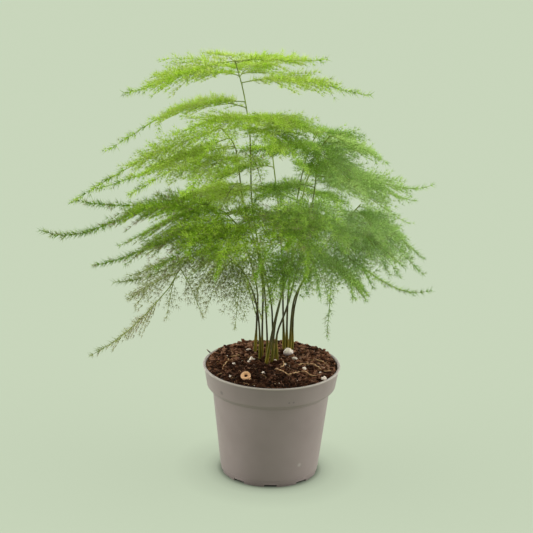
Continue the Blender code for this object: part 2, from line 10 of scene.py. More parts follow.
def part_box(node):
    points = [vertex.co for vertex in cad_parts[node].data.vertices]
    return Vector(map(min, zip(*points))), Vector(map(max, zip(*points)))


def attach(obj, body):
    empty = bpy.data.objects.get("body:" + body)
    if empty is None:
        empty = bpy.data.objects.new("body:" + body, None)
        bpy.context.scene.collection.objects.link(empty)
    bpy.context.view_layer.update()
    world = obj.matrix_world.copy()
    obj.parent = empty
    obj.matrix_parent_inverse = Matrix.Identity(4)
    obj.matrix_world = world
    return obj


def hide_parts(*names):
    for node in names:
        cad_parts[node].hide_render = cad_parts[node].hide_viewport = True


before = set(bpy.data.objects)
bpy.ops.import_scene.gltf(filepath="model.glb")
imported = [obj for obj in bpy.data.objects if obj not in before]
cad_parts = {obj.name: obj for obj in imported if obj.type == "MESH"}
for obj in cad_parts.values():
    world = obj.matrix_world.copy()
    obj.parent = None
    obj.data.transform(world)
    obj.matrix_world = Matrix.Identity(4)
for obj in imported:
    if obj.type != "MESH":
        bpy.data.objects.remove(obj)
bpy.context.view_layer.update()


# The pot is a thin nursery pot, injection moulded in one shot from taupe-grey polypropylene. Its collar
# stiffens the rim, the thin lip is rolled over, and drain slots are cored out round the foot.
MM = 0.001
POT_SEGMENTS = 144
_, POT_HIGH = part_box("pot")
POT_TOP = POT_HIGH.z
LIP_RADIUS = POT_HIGH.x
LIP_DEPTH = 2.2 * MM
COLLAR_TOP_RADIUS = LIP_RADIUS - 1.2 * MM
COLLAR_FOOT_RADIUS = 56.2 * MM
COLLAR_FOOT = 80.5 * MM
WALL_TOP_RADIUS = 51.2 * MM
WALL_TOP = 76.0 * MM
FOOT_STEP = 6.0 * MM
FOOT_STEP_RADIUS = 43.3 * MM
FOOT_RADIUS = 42.3 * MM
WALL = 1.3 * MM
FLOOR = 1.5 * MM
SLOTS = 9
FIRST_SLOT = math.radians(-88.0)
SLOT_HEIGHT = 2.2 * MM
SLOT_WIDTH = 11.0 * MM
SLOT_INNER_RADIUS = 33.0 * MM
SLOT_CUTTER_END = 47.0 * MM
LIP_ROLL_REACH = 0.85 * MM
LIP_ROLL_DEPTH = 0.8 * MM
# The lip rolls over through these turns, in degrees, from the inside to the outside.
LIP_ROLL_TURNS = (150, 110, 70, 30, -10, -50, -90)
SHARP_EDGE = math.radians(38)


def mesh_from(name, bm):
    """Turns finished bmesh work into a mesh."""
    mesh = bpy.data.meshes.new(name)
    bm.to_mesh(mesh)
    bm.free()
    return mesh


def set_out(name, data):
    """Puts a mesh, a curve or a camera into the scene."""
    obj = bpy.data.objects.new(name, data)
    bpy.context.scene.collection.objects.link(obj)
    return obj


def settled(obj):
    """The mesh that an object's modifiers or its curve come to. The object itself goes."""
    mesh = bpy.data.meshes.new_from_object(obj.evaluated_get(bpy.context.evaluated_depsgraph_get()))
    bpy.data.objects.remove(obj)
    return mesh


def piece_of(name, mesh, material, smooth=True):
    """Makes a mesh a finished piece that stands on the root body."""
    mesh.materials.clear()
    mesh.materials.append(material)
    if smooth:
        mesh.shade_smooth()
    else:
        mesh.shade_flat()
    piece = set_out(name, mesh)
    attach(piece, "root")
    return piece


def piece_from(name, bm, material, smooth=True):
    """Makes finished bmesh work a piece."""
    return piece_of(name, mesh_from(name, bm), material, smooth)


def spun(outline, segments):
    """A closed solid turned from (radius, height) points, given from the axis round to the axis again."""
    bm = bmesh.new()
    corners = [bm.verts.new((radius, 0.0, height)) for radius, height in outline]
    edges = [bm.edges.new(pair) for pair in zip(corners, corners[1:])]
    bmesh.ops.spin(
        bm, geom=corners + edges, cent=(0, 0, 0), axis=(0, 0, 1), angle=math.tau, steps=segments,
        use_merge=True,
    )
    bmesh.ops.remove_doubles(bm, verts=bm.verts, dist=0.01 * MM)
    bmesh.ops.recalc_face_normals(bm, faces=bm.faces)
    return bm


# A Mix node's inputs for its factor and its two colours, and its output for a colour.
MIX_INPUTS = (0, 6, 7)
MIX_OUTPUT = 2


def feed(tree, node, inputs, values):
    """Gives inputs of a node their values, each a socket, a plain number or a plain colour."""
    for place, value in zip(inputs, values):
        if isinstance(value, float):
            node.inputs[place].default_value = value
        elif isinstance(value, tuple):
            node.inputs[place].default_value = (*value, 1.0)
        else:
            tree.links.new(value, node.inputs[place])


def reckoned(tree, operation, one, two):
    """What a sum of two values comes to, in a material's or the world's node tree."""
    node = tree.nodes.new("ShaderNodeMath")
    node.operation = operation
    feed(tree, node, (0, 1), (one, two))
    return node.outputs[0]


class Nodes:
    """A material's node tree, with short ways to add and link nodes."""

    def __init__(self, name, roughness, specular=0.5):
        self.material = bpy.data.materials.new(name)
        self.material.use_nodes = True
        self.tree = self.material.node_tree
        self.surface = self.tree.nodes["Principled BSDF"]
        self.surface.inputs["Roughness"].default_value = roughness
        self.surface.inputs["Specular IOR Level"].default_value = specular
        self.place = self.tree.nodes.new("ShaderNodeTexCoord").outputs["Object"]

    def link(self, output, target):
        """Links a node's output to an input."""
        self.tree.links.new(output, target)

    def noise(self, scale, detail=3.0, roughness=0.6, stretch=None):
        """Noise at this many waves a metre, read at the object's own place."""
        node = self.tree.nodes.new("ShaderNodeTexNoise")
        node.inputs["Scale"].default_value = scale
        node.inputs["Detail"].default_value = detail
        node.inputs["Roughness"].default_value = roughness
        place = self.place
        if stretch is not None:
            mapping = self.tree.nodes.new("ShaderNodeMapping")
            mapping.inputs["Scale"].default_value = stretch
            self.link(self.place, mapping.inputs["Vector"])
            place = mapping.outputs["Vector"]
        self.link(place, node.inputs["Vector"])
        return node.outputs["Fac"]

    def attribute(self, name):
        """A value that the mesh holds at each of its points."""
        node = self.tree.nodes.new("ShaderNodeAttribute")
        node.attribute_name = name
        return node.outputs["Fac"]

    def ramp(self, factor, stops):
        """Colours, or greys, at places along a factor."""
        node = self.tree.nodes.new("ShaderNodeValToRGB")
        elements = node.color_ramp.elements
        while len(elements) < len(stops):
            elements.new(0.5)
        for element, (place, colour) in zip(elements, stops):
            element.position = place
            if isinstance(colour, float):
                colour = (colour, colour, colour)
            element.color = (*colour, 1.0)
        self.link(factor, node.inputs["Fac"])
        return node.outputs["Color"]

    def mix(self, factor, one, two):
        """Mixes two colours, each a socket or a plain colour."""
        node = self.tree.nodes.new("ShaderNodeMix")
        node.data_type = "RGBA"
        feed(self.tree, node, MIX_INPUTS, (factor, one, two))
        return node.outputs[MIX_OUTPUT]

    def sum(self, operation, one, two):
        """What a sum of two values comes to, each a socket or a plain number."""
        return reckoned(self.tree, operation, one, two)

    def height(self):
        """The object's own height, in metres."""
        node = self.tree.nodes.new("ShaderNodeSeparateXYZ")
        self.link(self.place, node.inputs[0])
        return node.outputs["Z"]

    def distance(self, point):
        """The distance from a point, in metres."""
        node = self.tree.nodes.new("ShaderNodeVectorMath")
        node.operation = "DISTANCE"
        self.link(self.place, node.inputs[0])
        node.inputs[1].default_value = point
        return node.outputs["Value"]

    def bump(self, height, depth, strength):
        """Relief from a value: how deep it is, in metres, where the value is 1, and how strongly it shows."""
        node = self.tree.nodes.new("ShaderNodeBump")
        node.inputs["Distance"].default_value = depth
        node.inputs["Strength"].default_value = strength
        self.link(height, node.inputs["Height"])
        self.link(node.outputs["Normal"], self.surface.inputs["Normal"])

    def colour(self, socket):
        """Makes a socket the surface's colour."""
        self.link(socket, self.surface.inputs["Base Color"])


POT_GREY = (0.217, 0.171, 0.163)
POT_GREY_WORN = (0.247, 0.197, 0.188)
LIP_WEAR_AND_HIGHLIGHT = (0.42, 0.38, 0.31)
SCUFF_DARK = (0.10, 0.085, 0.075)
SCUFF_LIGHT = (0.36, 0.33, 0.29)
# Small scuffs, three dark ones on the collar and a pale one by the foot: each one's place, size and colour.
SCUFFS = (
    ((-42.4 * MM, -38.4 * MM, 85.3 * MM), 0.9 * MM, SCUFF_DARK),
    ((15.6 * MM, -55.0 * MM, 84.2 * MM), 0.45 * MM, SCUFF_DARK),
    ((19.4 * MM, -53.8 * MM, 84.2 * MM), 0.45 * MM, SCUFF_DARK),
    ((25.9 * MM, -36.2 * MM, 19.3 * MM), 0.9 * MM, SCUFF_LIGHT),
)

# The outline runs from the axis up the inside, over the lip and down the outside to the axis again. Points
# less than 2 mm from a corner round it.
inner_side = [
    (0.0, FLOOR),
    (FOOT_RADIUS - WALL, FLOOR),
    (FOOT_STEP_RADIUS - WALL, FOOT_STEP + WALL),
    (WALL_TOP_RADIUS - WALL, WALL_TOP + WALL),
    (COLLAR_FOOT_RADIUS - WALL, COLLAR_FOOT + WALL),
    (COLLAR_TOP_RADIUS - WALL, POT_TOP - LIP_DEPTH),
    (COLLAR_TOP_RADIUS - 0.7 * WALL, POT_TOP - 0.25 * MM),
]
rolled_lip = []
for degrees in LIP_ROLL_TURNS:
    turn = math.radians(degrees)
    reach = LIP_RADIUS - LIP_ROLL_REACH + LIP_ROLL_REACH * math.cos(turn)
    rolled_lip.append((reach, POT_TOP - LIP_ROLL_DEPTH + LIP_ROLL_DEPTH * math.sin(turn)))
outer_side = [
    (COLLAR_TOP_RADIUS, POT_TOP - 1.1 * LIP_DEPTH),
    (COLLAR_FOOT_RADIUS + 0.25 * MM, COLLAR_FOOT + 1.6 * MM),
    (COLLAR_FOOT_RADIUS, COLLAR_FOOT),
    (COLLAR_FOOT_RADIUS - 0.9 * MM, COLLAR_FOOT - 1.2 * MM),
    (WALL_TOP_RADIUS + 1.0 * MM, WALL_TOP + 1.2 * MM),
    (WALL_TOP_RADIUS, WALL_TOP),
    (WALL_TOP_RADIUS - 0.15 * MM, WALL_TOP - 1.5 * MM),
    (FOOT_STEP_RADIUS + 0.2 * MM, FOOT_STEP + 1.8 * MM),
    (FOOT_STEP_RADIUS, FOOT_STEP),
    (FOOT_STEP_RADIUS - 0.4 * MM, FOOT_STEP - 0.4 * MM),
    (FOOT_RADIUS + 0.1 * MM, 0.6 * MM),
    (FOOT_RADIUS - 0.4 * MM, 0.0),
    (0.0, 0.0),
]
pot_outline = inner_side + rolled_lip + outer_side
blank = set_out("pot_blank", mesh_from("nursery_pot", spun(pot_outline, POT_SEGMENTS)))

bm = bmesh.new()
slot_length = SLOT_CUTTER_END - SLOT_INNER_RADIUS
for slot in range(SLOTS):
    cutter = bmesh.ops.create_cube(bm, size=1.0)["verts"]
    bmesh.ops.scale(bm, vec=(slot_length, SLOT_WIDTH, 2.0 * SLOT_HEIGHT), verts=cutter)
    bmesh.ops.translate(bm, vec=(SLOT_INNER_RADIUS + slot_length / 2, 0.0, 0.0), verts=cutter)
    heading = FIRST_SLOT + slot * math.tau / SLOTS
    bmesh.ops.rotate(bm, cent=(0, 0, 0), matrix=Matrix.Rotation(heading, 3, "Z"), verts=cutter)
slot_cutter = set_out("drain_slots", mesh_from("drain_slots", bm))
coring = blank.modifiers.new("coring", "BOOLEAN")
coring.operation = "DIFFERENCE"
coring.object = slot_cutter
cored = settled(blank)
bpy.data.objects.remove(slot_cutter)

plastic = Nodes("taupe pot plastic", 0.42)
cloud = plastic.ramp(plastic.noise(28.0, 2.0), [(0.35, POT_GREY), (0.75, POT_GREY_WORN)])
flow = plastic.noise(60.0, 4.0, 0.6, (1.0, 1.0, 0.12))
grey = plastic.mix(plastic.ramp(flow, [(0.5, 0.0), (0.9, 0.35)]), cloud, POT_GREY_WORN)
# The top of the lip is painted paler, partly for wear and partly as a painted highlight.
lip_wear_and_highlight = plastic.ramp(plastic.sum("DIVIDE", plastic.height(), POT_TOP), [(0.984, 0.0), (0.992, 1.0)])
grey = plastic.mix(plastic.sum("MULTIPLY", lip_wear_and_highlight, 0.6), grey, LIP_WEAR_AND_HIGHLIGHT)
for point, size, colour in SCUFFS:
    near = plastic.ramp(plastic.sum("DIVIDE", plastic.distance(point), 3.0 * size), [(0.3, 0.7), (0.9, 0.0)])
    grey = plastic.mix(near, grey, colour)
plastic.colour(grey)
grain = plastic.noise(2600.0, 2.0)
plastic.bump(plastic.sum("ADD", grain, plastic.sum("MULTIPLY", flow, 1.5)), 0.05 * MM, 0.35)
worn = plastic.ramp(plastic.noise(90.0), [(0.3, 0.40), (0.7, 0.50)])
plastic.link(worn, plastic.surface.inputs["Roughness"])
pot = piece_of("nursery_pot", cored, plastic.material)
pot.data.set_sharp_from_angle(angle=SHARP_EDGE)
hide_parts("pot")


# The soil is dark peat pressed level with the rim, with crumbs, shreds of fibre and old roots on top.
# It is laid as one lumpy bed, and the loose bits are strewn over it.
SOIL_RIM = 96.8 * MM
SOIL_CROWN = 100.6 * MM
SOIL_RADIUS = COLLAR_TOP_RADIUS - WALL - 0.15 * MM
SOIL_HEAP = 4.4 * MM
HEAP_START = 0.2
HEAP_SLOPE = 0.3
HEAP_EDGE = 0.04
HEAP_AT_RIM = 0.3
SOIL_GRID = 112
SOIL_DEPTH = 14.0 * MM
SKIRT_TAPER = 0.96
LUMP_SPACING = 11.0 * MM
LUMP_HEIGHT = 1.0 * MM
CLOD_SPACING = 4.0 * MM
CLOD_HEIGHT = 2.6 * MM
CLOD_LEVEL = 0.4
GRIT_SPACING = 1.5 * MM
GRIT_HEIGHT = 0.7 * MM
# How dry the peat is in the middle, and how much drier it is at the back, at the sides and at the right.
DRY_MIDDLE = 0.35
DRY_BACK = 0.8
DRY_SIDES = 0.6
DRY_RIGHT = 0.25


def soil_level(x, y):
    """The bed's height without its clods: a low lumpy crown, level with the rim, and heaped at the back."""
    share = min(1.0, math.hypot(x, y) / (COLLAR_TOP_RADIUS - WALL))
    lumps = noise.noise(Vector((x, y, 0.0)) / LUMP_SPACING) * LUMP_HEIGHT
    back = min(1.0, max(0.0, (y / COLLAR_TOP_RADIUS - HEAP_START) / HEAP_SLOPE))
    heap = SOIL_HEAP * back * share**6 * min(1.0, HEAP_AT_RIM + (1.0 - share) / HEAP_EDGE)
    return SOIL_CROWN + (SOIL_RIM - SOIL_CROWN) * share**2 + lumps * (1.0 - share**4) + heap


def gap_between_clods(x, y):
    """0 on top of a clod and about 1 in the cracks round it."""
    return noise.voronoi(Vector((x, y, 0.0)) / CLOD_SPACING)[0][0]


def soil_top(x, y):
    """The bed's height with its clods and grit."""
    grit = noise.noise(Vector((x, y, 0.0)) / GRIT_SPACING)
    return soil_level(x, y) + (CLOD_LEVEL - gap_between_clods(x, y)) * CLOD_HEIGHT + grit * GRIT_HEIGHT


def on_soil(x, y, above=0.0):
    """A point on the soil, given in mm from the pot's axis and in mm above the soil."""
    return Vector((x * MM, y * MM, soil_top(x * MM, y * MM) + above * MM))


def dryness(x, y):
    """How dry the peat is: damp at the front, and dry at the back and the sides, most on the right."""
    x, y = x / SOIL_RADIUS, y / SOIL_RADIUS
    return min(1.0, max(0.0, DRY_MIDDLE + DRY_BACK * y + DRY_SIDES * abs(x) + DRY_RIGHT * x))


bm = bmesh.new()
crack_shade = bm.verts.layers.float.new("crack_shade")
dry_peat = bm.verts.layers.float.new("dry")
bmesh.ops.create_grid(bm, x_segments=SOIL_GRID, y_segments=SOIL_GRID, size=1.0)
for vert in bm.verts:
    x, y, _ = vert.co
    # This turns the square grid into a round one.
    x, y = x * math.sqrt(1.0 - y * y / 2.0), y * math.sqrt(1.0 - x * x / 2.0)
    vert.co = (x * SOIL_RADIUS, y * SOIL_RADIUS, 0.0)
    vert.co.z = soil_top(vert.co.x, vert.co.y)
    vert[crack_shade] = gap_between_clods(vert.co.x, vert.co.y)
    vert[dry_peat] = dryness(vert.co.x, vert.co.y)
rim = [edge for edge in bm.edges if edge.is_boundary]
skirt = bmesh.ops.extrude_edge_only(bm, edges=rim)["geom"]
for vert in [item for item in skirt if isinstance(item, bmesh.types.BMVert)]:
    vert.co.z = SOIL_RIM - SOIL_DEPTH
    vert.co.x *= SKIRT_TAPER
    vert.co.y *= SKIRT_TAPER
bmesh.ops.edgeloop_fill(bm, edges=[item for item in skirt if isinstance(item, bmesh.types.BMEdge)])
bmesh.ops.recalc_face_normals(bm, faces=bm.faces)

PEAT_BLACK = (0.007, 0.003, 0.001)
PEAT_DARK = (0.032, 0.011, 0.004)
PEAT_BROWN = (0.180, 0.071, 0.031)
PEAT_DUSTY = (0.440, 0.235, 0.140)
peat = Nodes("potting soil", 0.95, specular=0.1)
patches = peat.noise(34.0, 3.0)
crumbs = peat.noise(420.0, 5.0, 0.7)
damp = peat.ramp(crumbs, [(0.36, PEAT_BLACK), (0.54, PEAT_DARK), (0.72, PEAT_BROWN), (0.90, PEAT_DUSTY)])
dry = peat.ramp(crumbs, [(0.28, PEAT_DARK), (0.44, PEAT_BROWN), (0.62, PEAT_DUSTY)])
spread = peat.sum("MULTIPLY", peat.sum("ADD", peat.attribute("dry"), patches), 0.5)
drying = peat.ramp(spread, [(0.22, 0.0), (0.72, 1.0)])
# The cracks between the clods are painted near black, as painted shade.
cracks = peat.ramp(peat.attribute("crack_shade"), [(0.32, 0.0), (0.62, 0.9)])
peat.colour(peat.mix(cracks, peat.mix(drying, damp, dry), PEAT_BLACK))
peat.bump(crumbs, 0.6 * MM, 0.8)
soil = piece_from("soil_bed", bm, peat.material)
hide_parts("soil")


# The crumbs are loose lumps of peat, rounded by watering. They lie thick on the bed, where they fell, each
# one of four rough lumps, turned and flattened at random.
CRUMBS = 1700
CRUMB_SIZES = (0.55, 2.3)
CRUMB_KINDS = 4
CRUMB_SEAT = 0.3
CRUMB_PALENESS = 0.4
DRY_PALENESS = 0.9
LUMP_TILT = 3.0
LUMP_DEPTHS = (0.7, 1.0)
LUMP_FLATNESS = 0.75


def strewn(draw, edge=0.97):
    """A place on the soil, in mm, spread evenly over it."""
    reach = SOIL_RADIUS / MM * edge * math.sqrt(draw.random())
    heading = draw.uniform(0.0, math.tau)
    return reach * math.cos(heading), reach * math.sin(heading)


def toned_mesh(name, bm):
    """Turns finished bmesh work into a small mesh that each copy can give a tone of its own."""
    mesh = mesh_from(name, bm)
    mesh.attributes.new("tone", "FLOAT", "POINT")
    return mesh


def lump_mesh(name, subdivisions, roughness, seed):
    """A rough round lump of unit radius."""
    bm = bmesh.new()
    bmesh.ops.create_icosphere(bm, subdivisions=subdivisions, radius=1.0)
    for vert in bm.verts:
        vert.co *= 1.0 + roughness * noise.noise(vert.co * 1.7 + Vector((seed, 0.0, 0.0)))
    return toned_mesh(name, bm)


def copy_into(bm, mesh, place, tone=None):
    """Adds a copy of a small mesh at a place, with a tone for the material where it has one."""
    if tone is not None:
        mesh.attributes["tone"].data.foreach_set("value", [tone] * len(mesh.vertices))
    mesh.transform(place)
    bm.from_mesh(mesh)
    mesh.transform(place.inverted())


def laid(point, size, draw, flat=LUMP_FLATNESS):
    """A place for a lump: turned at random and a little flattened."""
    about = Matrix.Rotation(draw.uniform(0.0, math.tau), 4, "Z")
    turn = about @ Matrix.Rotation(draw.uniform(0.0, LUMP_TILT), 4, "X")
    form = Matrix.Diagonal((size, size * draw.uniform(*LUMP_DEPTHS), size * flat, 1.0))
    return Matrix.Translation(point) @ form @ turn


draw = random.Random(11)
lumps = []
for kind in range(CRUMB_KINDS):
    lumps.append(lump_mesh(f"crumb_{kind}", subdivisions=1, roughness=0.9, seed=kind * 3.1))
smallest, largest = CRUMB_SIZES
bm = bmesh.new()
bm.verts.layers.float.new("tone")
for crumb in range(CRUMBS):
    x, y = strewn(draw)
    # Most crumbs are small, and the dry ones are pale.
    size = smallest + (largest - smallest) * draw.random() ** 3
    place = laid(on_soil(x, y, CRUMB_SEAT * size), size * MM, draw)
    paleness = CRUMB_PALENESS + DRY_PALENESS * dryness(x * MM, y * MM)
    copy_into(bm, lumps[crumb % CRUMB_KINDS], place, draw.random() * paleness)
crumb_peat = Nodes("peat crumbs", 0.95, specular=0.1)
tone = crumb_peat.ramp(
    crumb_peat.attribute("tone"),
    [(0.0, PEAT_BLACK), (0.35, PEAT_DARK), (0.75, PEAT_BROWN), (1.0, PEAT_DUSTY)],
)
crumb_peat.colour(crumb_peat.mix(crumb_peat.noise(900.0, 3.0), tone, PEAT_DARK))
crumb_peat.bump(crumb_peat.noise(1500.0, 3.0), 0.3 * MM, 0.7)
piece_from("soil_crumbs", bm, crumb_peat.material, smooth=False)


# The shreds are bits of coir and dead root in the peat, reddish brown and straw coloured. Each is a thin
# curved thread that lies on the crumbs.
RED_SHREDS = 330
STRAW_SHREDS = 55
SHRED_RADIUS = 0.16 * MM
SHRED_POINTS = 5
SHRED_STEPS = (0.6, 2.2)
SHRED_BEND = 0.8
SHRED_LIFT = 0.25
SHRED_ARCH = 0.35
SHRED_TIP = 0.4
SHRED_EDGE = 0.95
SHRED_LIMIT = 0.97
RED_SHRED = (0.20, 0.085, 0.040)
STRAW = (0.58, 0.38, 0.17)


def threads(name, lines, radius, sides=0):
    """Thin tubes along lines of points. A line's own radii are shares of the radius."""
    curve = bpy.data.curves.new(name, "CURVE")
    curve.dimensions = "3D"
    curve.bevel_depth = radius
    curve.bevel_resolution = sides
    curve.use_fill_caps = True
    for points, shares in lines:
        spline = curve.splines.new("POLY")
        spline.points.add(len(points) - 1)
        for spot, point, share in zip(spline.points, points, shares):
            spot.co = (*point, 1.0)
            spot.radius = share
    return settled(set_out(name, curve))


def curved(points, pieces):
    """Points read from a Catmull-Rom curve through the given ones."""
    ends = [2 * points[0] - points[1], *points, 2 * points[-1] - points[-2]]
    line = []
    for a, b, c, d in zip(ends, ends[1:], ends[2:], ends[3:]):
        for piece in range(pieces):
            t = piece / pieces
            bend = (2 * a - 5 * b + 4 * c - d) * t**2
            swing = (3 * b - a - 3 * c + d) * t**3
            line.append(0.5 * (2 * b + (c - a) * t + bend + swing))
    line.append(points[-1])
    return line


def shred_lines(draw, count):
    """Arched lines strewn over the soil. One that comes to the rim ends there, and a stub is left out."""
    lines = []
    for shred in range(count):
        x, y = strewn(draw, SHRED_EDGE)
        heading = draw.uniform(0.0, math.tau)
        bend = draw.uniform(-SHRED_BEND, SHRED_BEND)
        length = draw.uniform(*SHRED_STEPS)
        points = []
        for step in range(SHRED_POINTS):
            arch = SHRED_ARCH * math.sin(math.pi * step / (SHRED_POINTS - 1))
            points.append(on_soil(x, y, SHRED_LIFT + arch))
            x += length * math.cos(heading)
            y += length * math.sin(heading)
            heading += bend
            if math.hypot(x, y) > SHRED_LIMIT * SOIL_RADIUS / MM:
                break
        if len(points) > 2:
            lines.append((points, [1.0] * (len(points) - 1) + [SHRED_TIP]))
    return lines


def mottled(name, roughness, waves, stops, detail=3.0):
    """A material whose colour goes through these stops in blotches, at so many waves a metre."""
    nodes = Nodes(name, roughness)
    nodes.colour(nodes.ramp(nodes.noise(waves, detail), stops))
    return nodes


draw = random.Random(23)
red = mottled("reddish shreds", 0.9, 500.0, [(0.3, PEAT_BROWN), (0.7, RED_SHRED)])
red_mesh = threads("red_shreds", shred_lines(draw, RED_SHREDS), SHRED_RADIUS)
piece_of("red_shreds", red_mesh, red.material)
straw = mottled("straw shreds", 0.85, 400.0, [(0.3, RED_SHRED), (0.6, STRAW)])
straw_mesh = threads("straw_shreds", shred_lines(draw, STRAW_SHREDS), SHRED_RADIUS)
piece_of("straw_shreds", straw_mesh, straw.material)


# The roots are old tan roots, washed bare by watering. They lie half sunk in the crumbs and wander over the
# bed. Their courses are in mm from the pot's axis.
ROOT_RADIUS = 0.7 * MM
ROOT_LIFT = 0.9
ROOT_TAPER = 0.55
ROOT_END = 0.3
ROOT_TAN = (0.42, 0.24, 0.10)
ROOTS = (
    ((2.6, -16.8), (8.8, -20.5), (14.0, -28.5), (21.1, -23.9), (27.3, -21.1), (35.1, -26.5), (43.1, -22.8)),
    ((22.5, -5.7), (30.1, -1.4), (36.4, -3.4), (44.2, -12.7), (54.0, -11.8)),
    ((9.7, 0.8), (10.5, -7.7), (7.0, -16.5)),
    ((-37.8, 8.9), (-38.4, 0.5), (-41.6, -9.0), (-42.2, -17.0)),
    ((-36.1, 12.8), (-25.4, 16.0)),
    ((34.0, 12.0), (42.0, 9.0), (50.0, 4.0)),
)
root_lines = []
for course in ROOTS:
    flat = curved([Vector((x, y, 0.0)) for x, y in course], 5)
    points = [on_soil(point.x, point.y, ROOT_LIFT) for point in flat]
    shares = [1.0 - ROOT_TAPER * spot / (len(points) - 1) for spot in range(len(points))]
    shares[0] = ROOT_END
    shares[-1] = ROOT_END
    root_lines.append((points, shares))
root = mottled("old root", 0.75, 260.0, [(0.32, RED_SHRED), (0.45, ROOT_TAN), (0.62, STRAW)], 4.0)
root.bump(root.noise(1200.0), 0.15 * MM, 0.6)
piece_of("old_roots", threads("old_roots", root_lines, ROOT_RADIUS, 1), root.material)


# The white grains are perlite, puffed volcanic glass that keeps the peat open. They lie where the photo
# shows them, in mm from the pot's axis with their size, among smaller ones strewn at random.
GRAINS = (
    (20.3, 11.6, 2.0), (11.4, -4.8, 1.3), (28.4, -14.3, 1.9), (44.8, -30.6, 2.1), (-32.8, -5.2, 1.4),
    (-39.8, 15.1, 1.1), (0.7, 3.9, 1.0), (-35.3, -32.0, 1.0), (42.0, -17.0, 0.9), (-17.5, 1.4, 2.0),
    (-19.8, -1.2, 1.2), (-15.8, 3.2, 1.1), (5.0, -11.5, 0.7), (-7.2, -28.5, 1.3), (-29.0, -3.4, 0.8),
    (3.0, 1.5, 1.0),
)
GRAIN_KINDS = 3
GRAIN_SEAT = 0.45
SMALL_GRAINS = 70
SMALL_GRAIN_SIZES = (0.25, 0.6)
SMALL_GRAIN_SEAT = 0.5
SMALL_GRAIN_TONES = (0.2, 0.8)
PERLITE = (0.86, 0.75, 0.61)
PERLITE_STAINED = (0.30, 0.19, 0.12)
draw = random.Random(31)
grains = []
for kind in range(GRAIN_KINDS):
    grains.append(lump_mesh(f"grain_{kind}", subdivisions=2, roughness=0.8, seed=7.0 + kind * 2.3))
bm = bmesh.new()
for spot, (x, y, size) in enumerate(GRAINS):
    place = laid(on_soil(x, y, GRAIN_SEAT * size), size * MM, draw, flat=0.85)
    copy_into(bm, grains[spot % GRAIN_KINDS], place, tone=0.9)
for spot in range(SMALL_GRAINS):
    x, y = strewn(draw)
    size = draw.uniform(*SMALL_GRAIN_SIZES)
    place = laid(on_soil(x, y, SMALL_GRAIN_SEAT * size), size * MM, draw)
    copy_into(bm, lumps[spot % CRUMB_KINDS], place, draw.uniform(*SMALL_GRAIN_TONES))
perlite = Nodes("perlite", 0.8)
perlite.colour(perlite.ramp(perlite.attribute("tone"), [(0.0, PERLITE_STAINED), (0.9, PERLITE)]))
perlite.bump(perlite.noise(1800.0, 3.0), 0.2 * MM, 0.7)
piece_from("perlite_grains", bm, perlite.material)


# A sliver of pale wood and a dark bit of stick came with the peat. The sliver lies on the crumbs behind the
# stems, and the stick leans on the rim at the left.
SLIVER_LENGTH = 6.4 * MM
SLIVER_WIDTH = 2.2 * MM
SLIVER_THICKNESS = 0.9 * MM
SLIVER_TAPER = 0.35
SLIVER_WARP = Vector((0.0, 0.3, 0.25)) * MM
SLIVER_TURN = math.radians(24)
SLIVER_PLACE = (-20.7, 25.8, 2.4)
SLIVER_BROWN = (0.42, 0.30, 0.20)
SLIVER_PALE = (0.70, 0.60, 0.48)
bm = bmesh.new()
shape = bmesh.ops.create_cube(bm, size=1.0)["verts"]
bmesh.ops.scale(bm, vec=(SLIVER_LENGTH, SLIVER_WIDTH, SLIVER_THICKNESS), verts=shape)
bmesh.ops.subdivide_edges(bm, edges=bm.edges, cuts=3, use_grid_fill=True)
for vert in bm.verts:
    vert.co *= 1.0 - SLIVER_TAPER * abs(vert.co.x / (SLIVER_LENGTH / 2)) ** 2
    vert.co += SLIVER_WARP * noise.noise(vert.co * 900.0)
bmesh.ops.rotate(bm, cent=(0, 0, 0), matrix=Matrix.Rotation(SLIVER_TURN, 3, "Z"), verts=bm.verts)
bmesh.ops.translate(bm, vec=on_soil(*SLIVER_PLACE), verts=bm.verts)
sliver = mottled("pale wood sliver", 0.7, 700.0, [(0.35, SLIVER_BROWN), (0.6, SLIVER_PALE)])
piece_from("pale_sliver", bm, sliver.material)

STICK_COURSE = ((-51.5, 25.5, 96.2), (-55.2, 28.0, 97.3), (-57.8, 29.6, 99.2))
STICK_SHARES = (1.0, 0.9, 1.0, 0.8, 0.9, 0.8, 0.7, 0.6, 0.4)
STICK_RADIUS = 0.7 * MM
stick_line = curved([Vector(point) * MM for point in STICK_COURSE], 4)
stick_mesh = threads("dark_stick", [(stick_line, STICK_SHARES)], STICK_RADIUS, 1)
stick = mottled("dark stick", 0.8, 600.0, [(0.4, PEAT_BLACK), (0.7, PEAT_BROWN)])
piece_of("dark_stick", stick_mesh, stick.material)


# The pale stone is a rough grain of pumice, bigger than the rest. It sits behind the stems, half sunk in the
# crumbs, with a worn peak and dark pits.
STONE_LOW, STONE_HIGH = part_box("pale_stone")
STONE_CENTRE = (STONE_LOW + STONE_HIGH) / 2
STONE_HALF = (STONE_HIGH - STONE_LOW) / 2
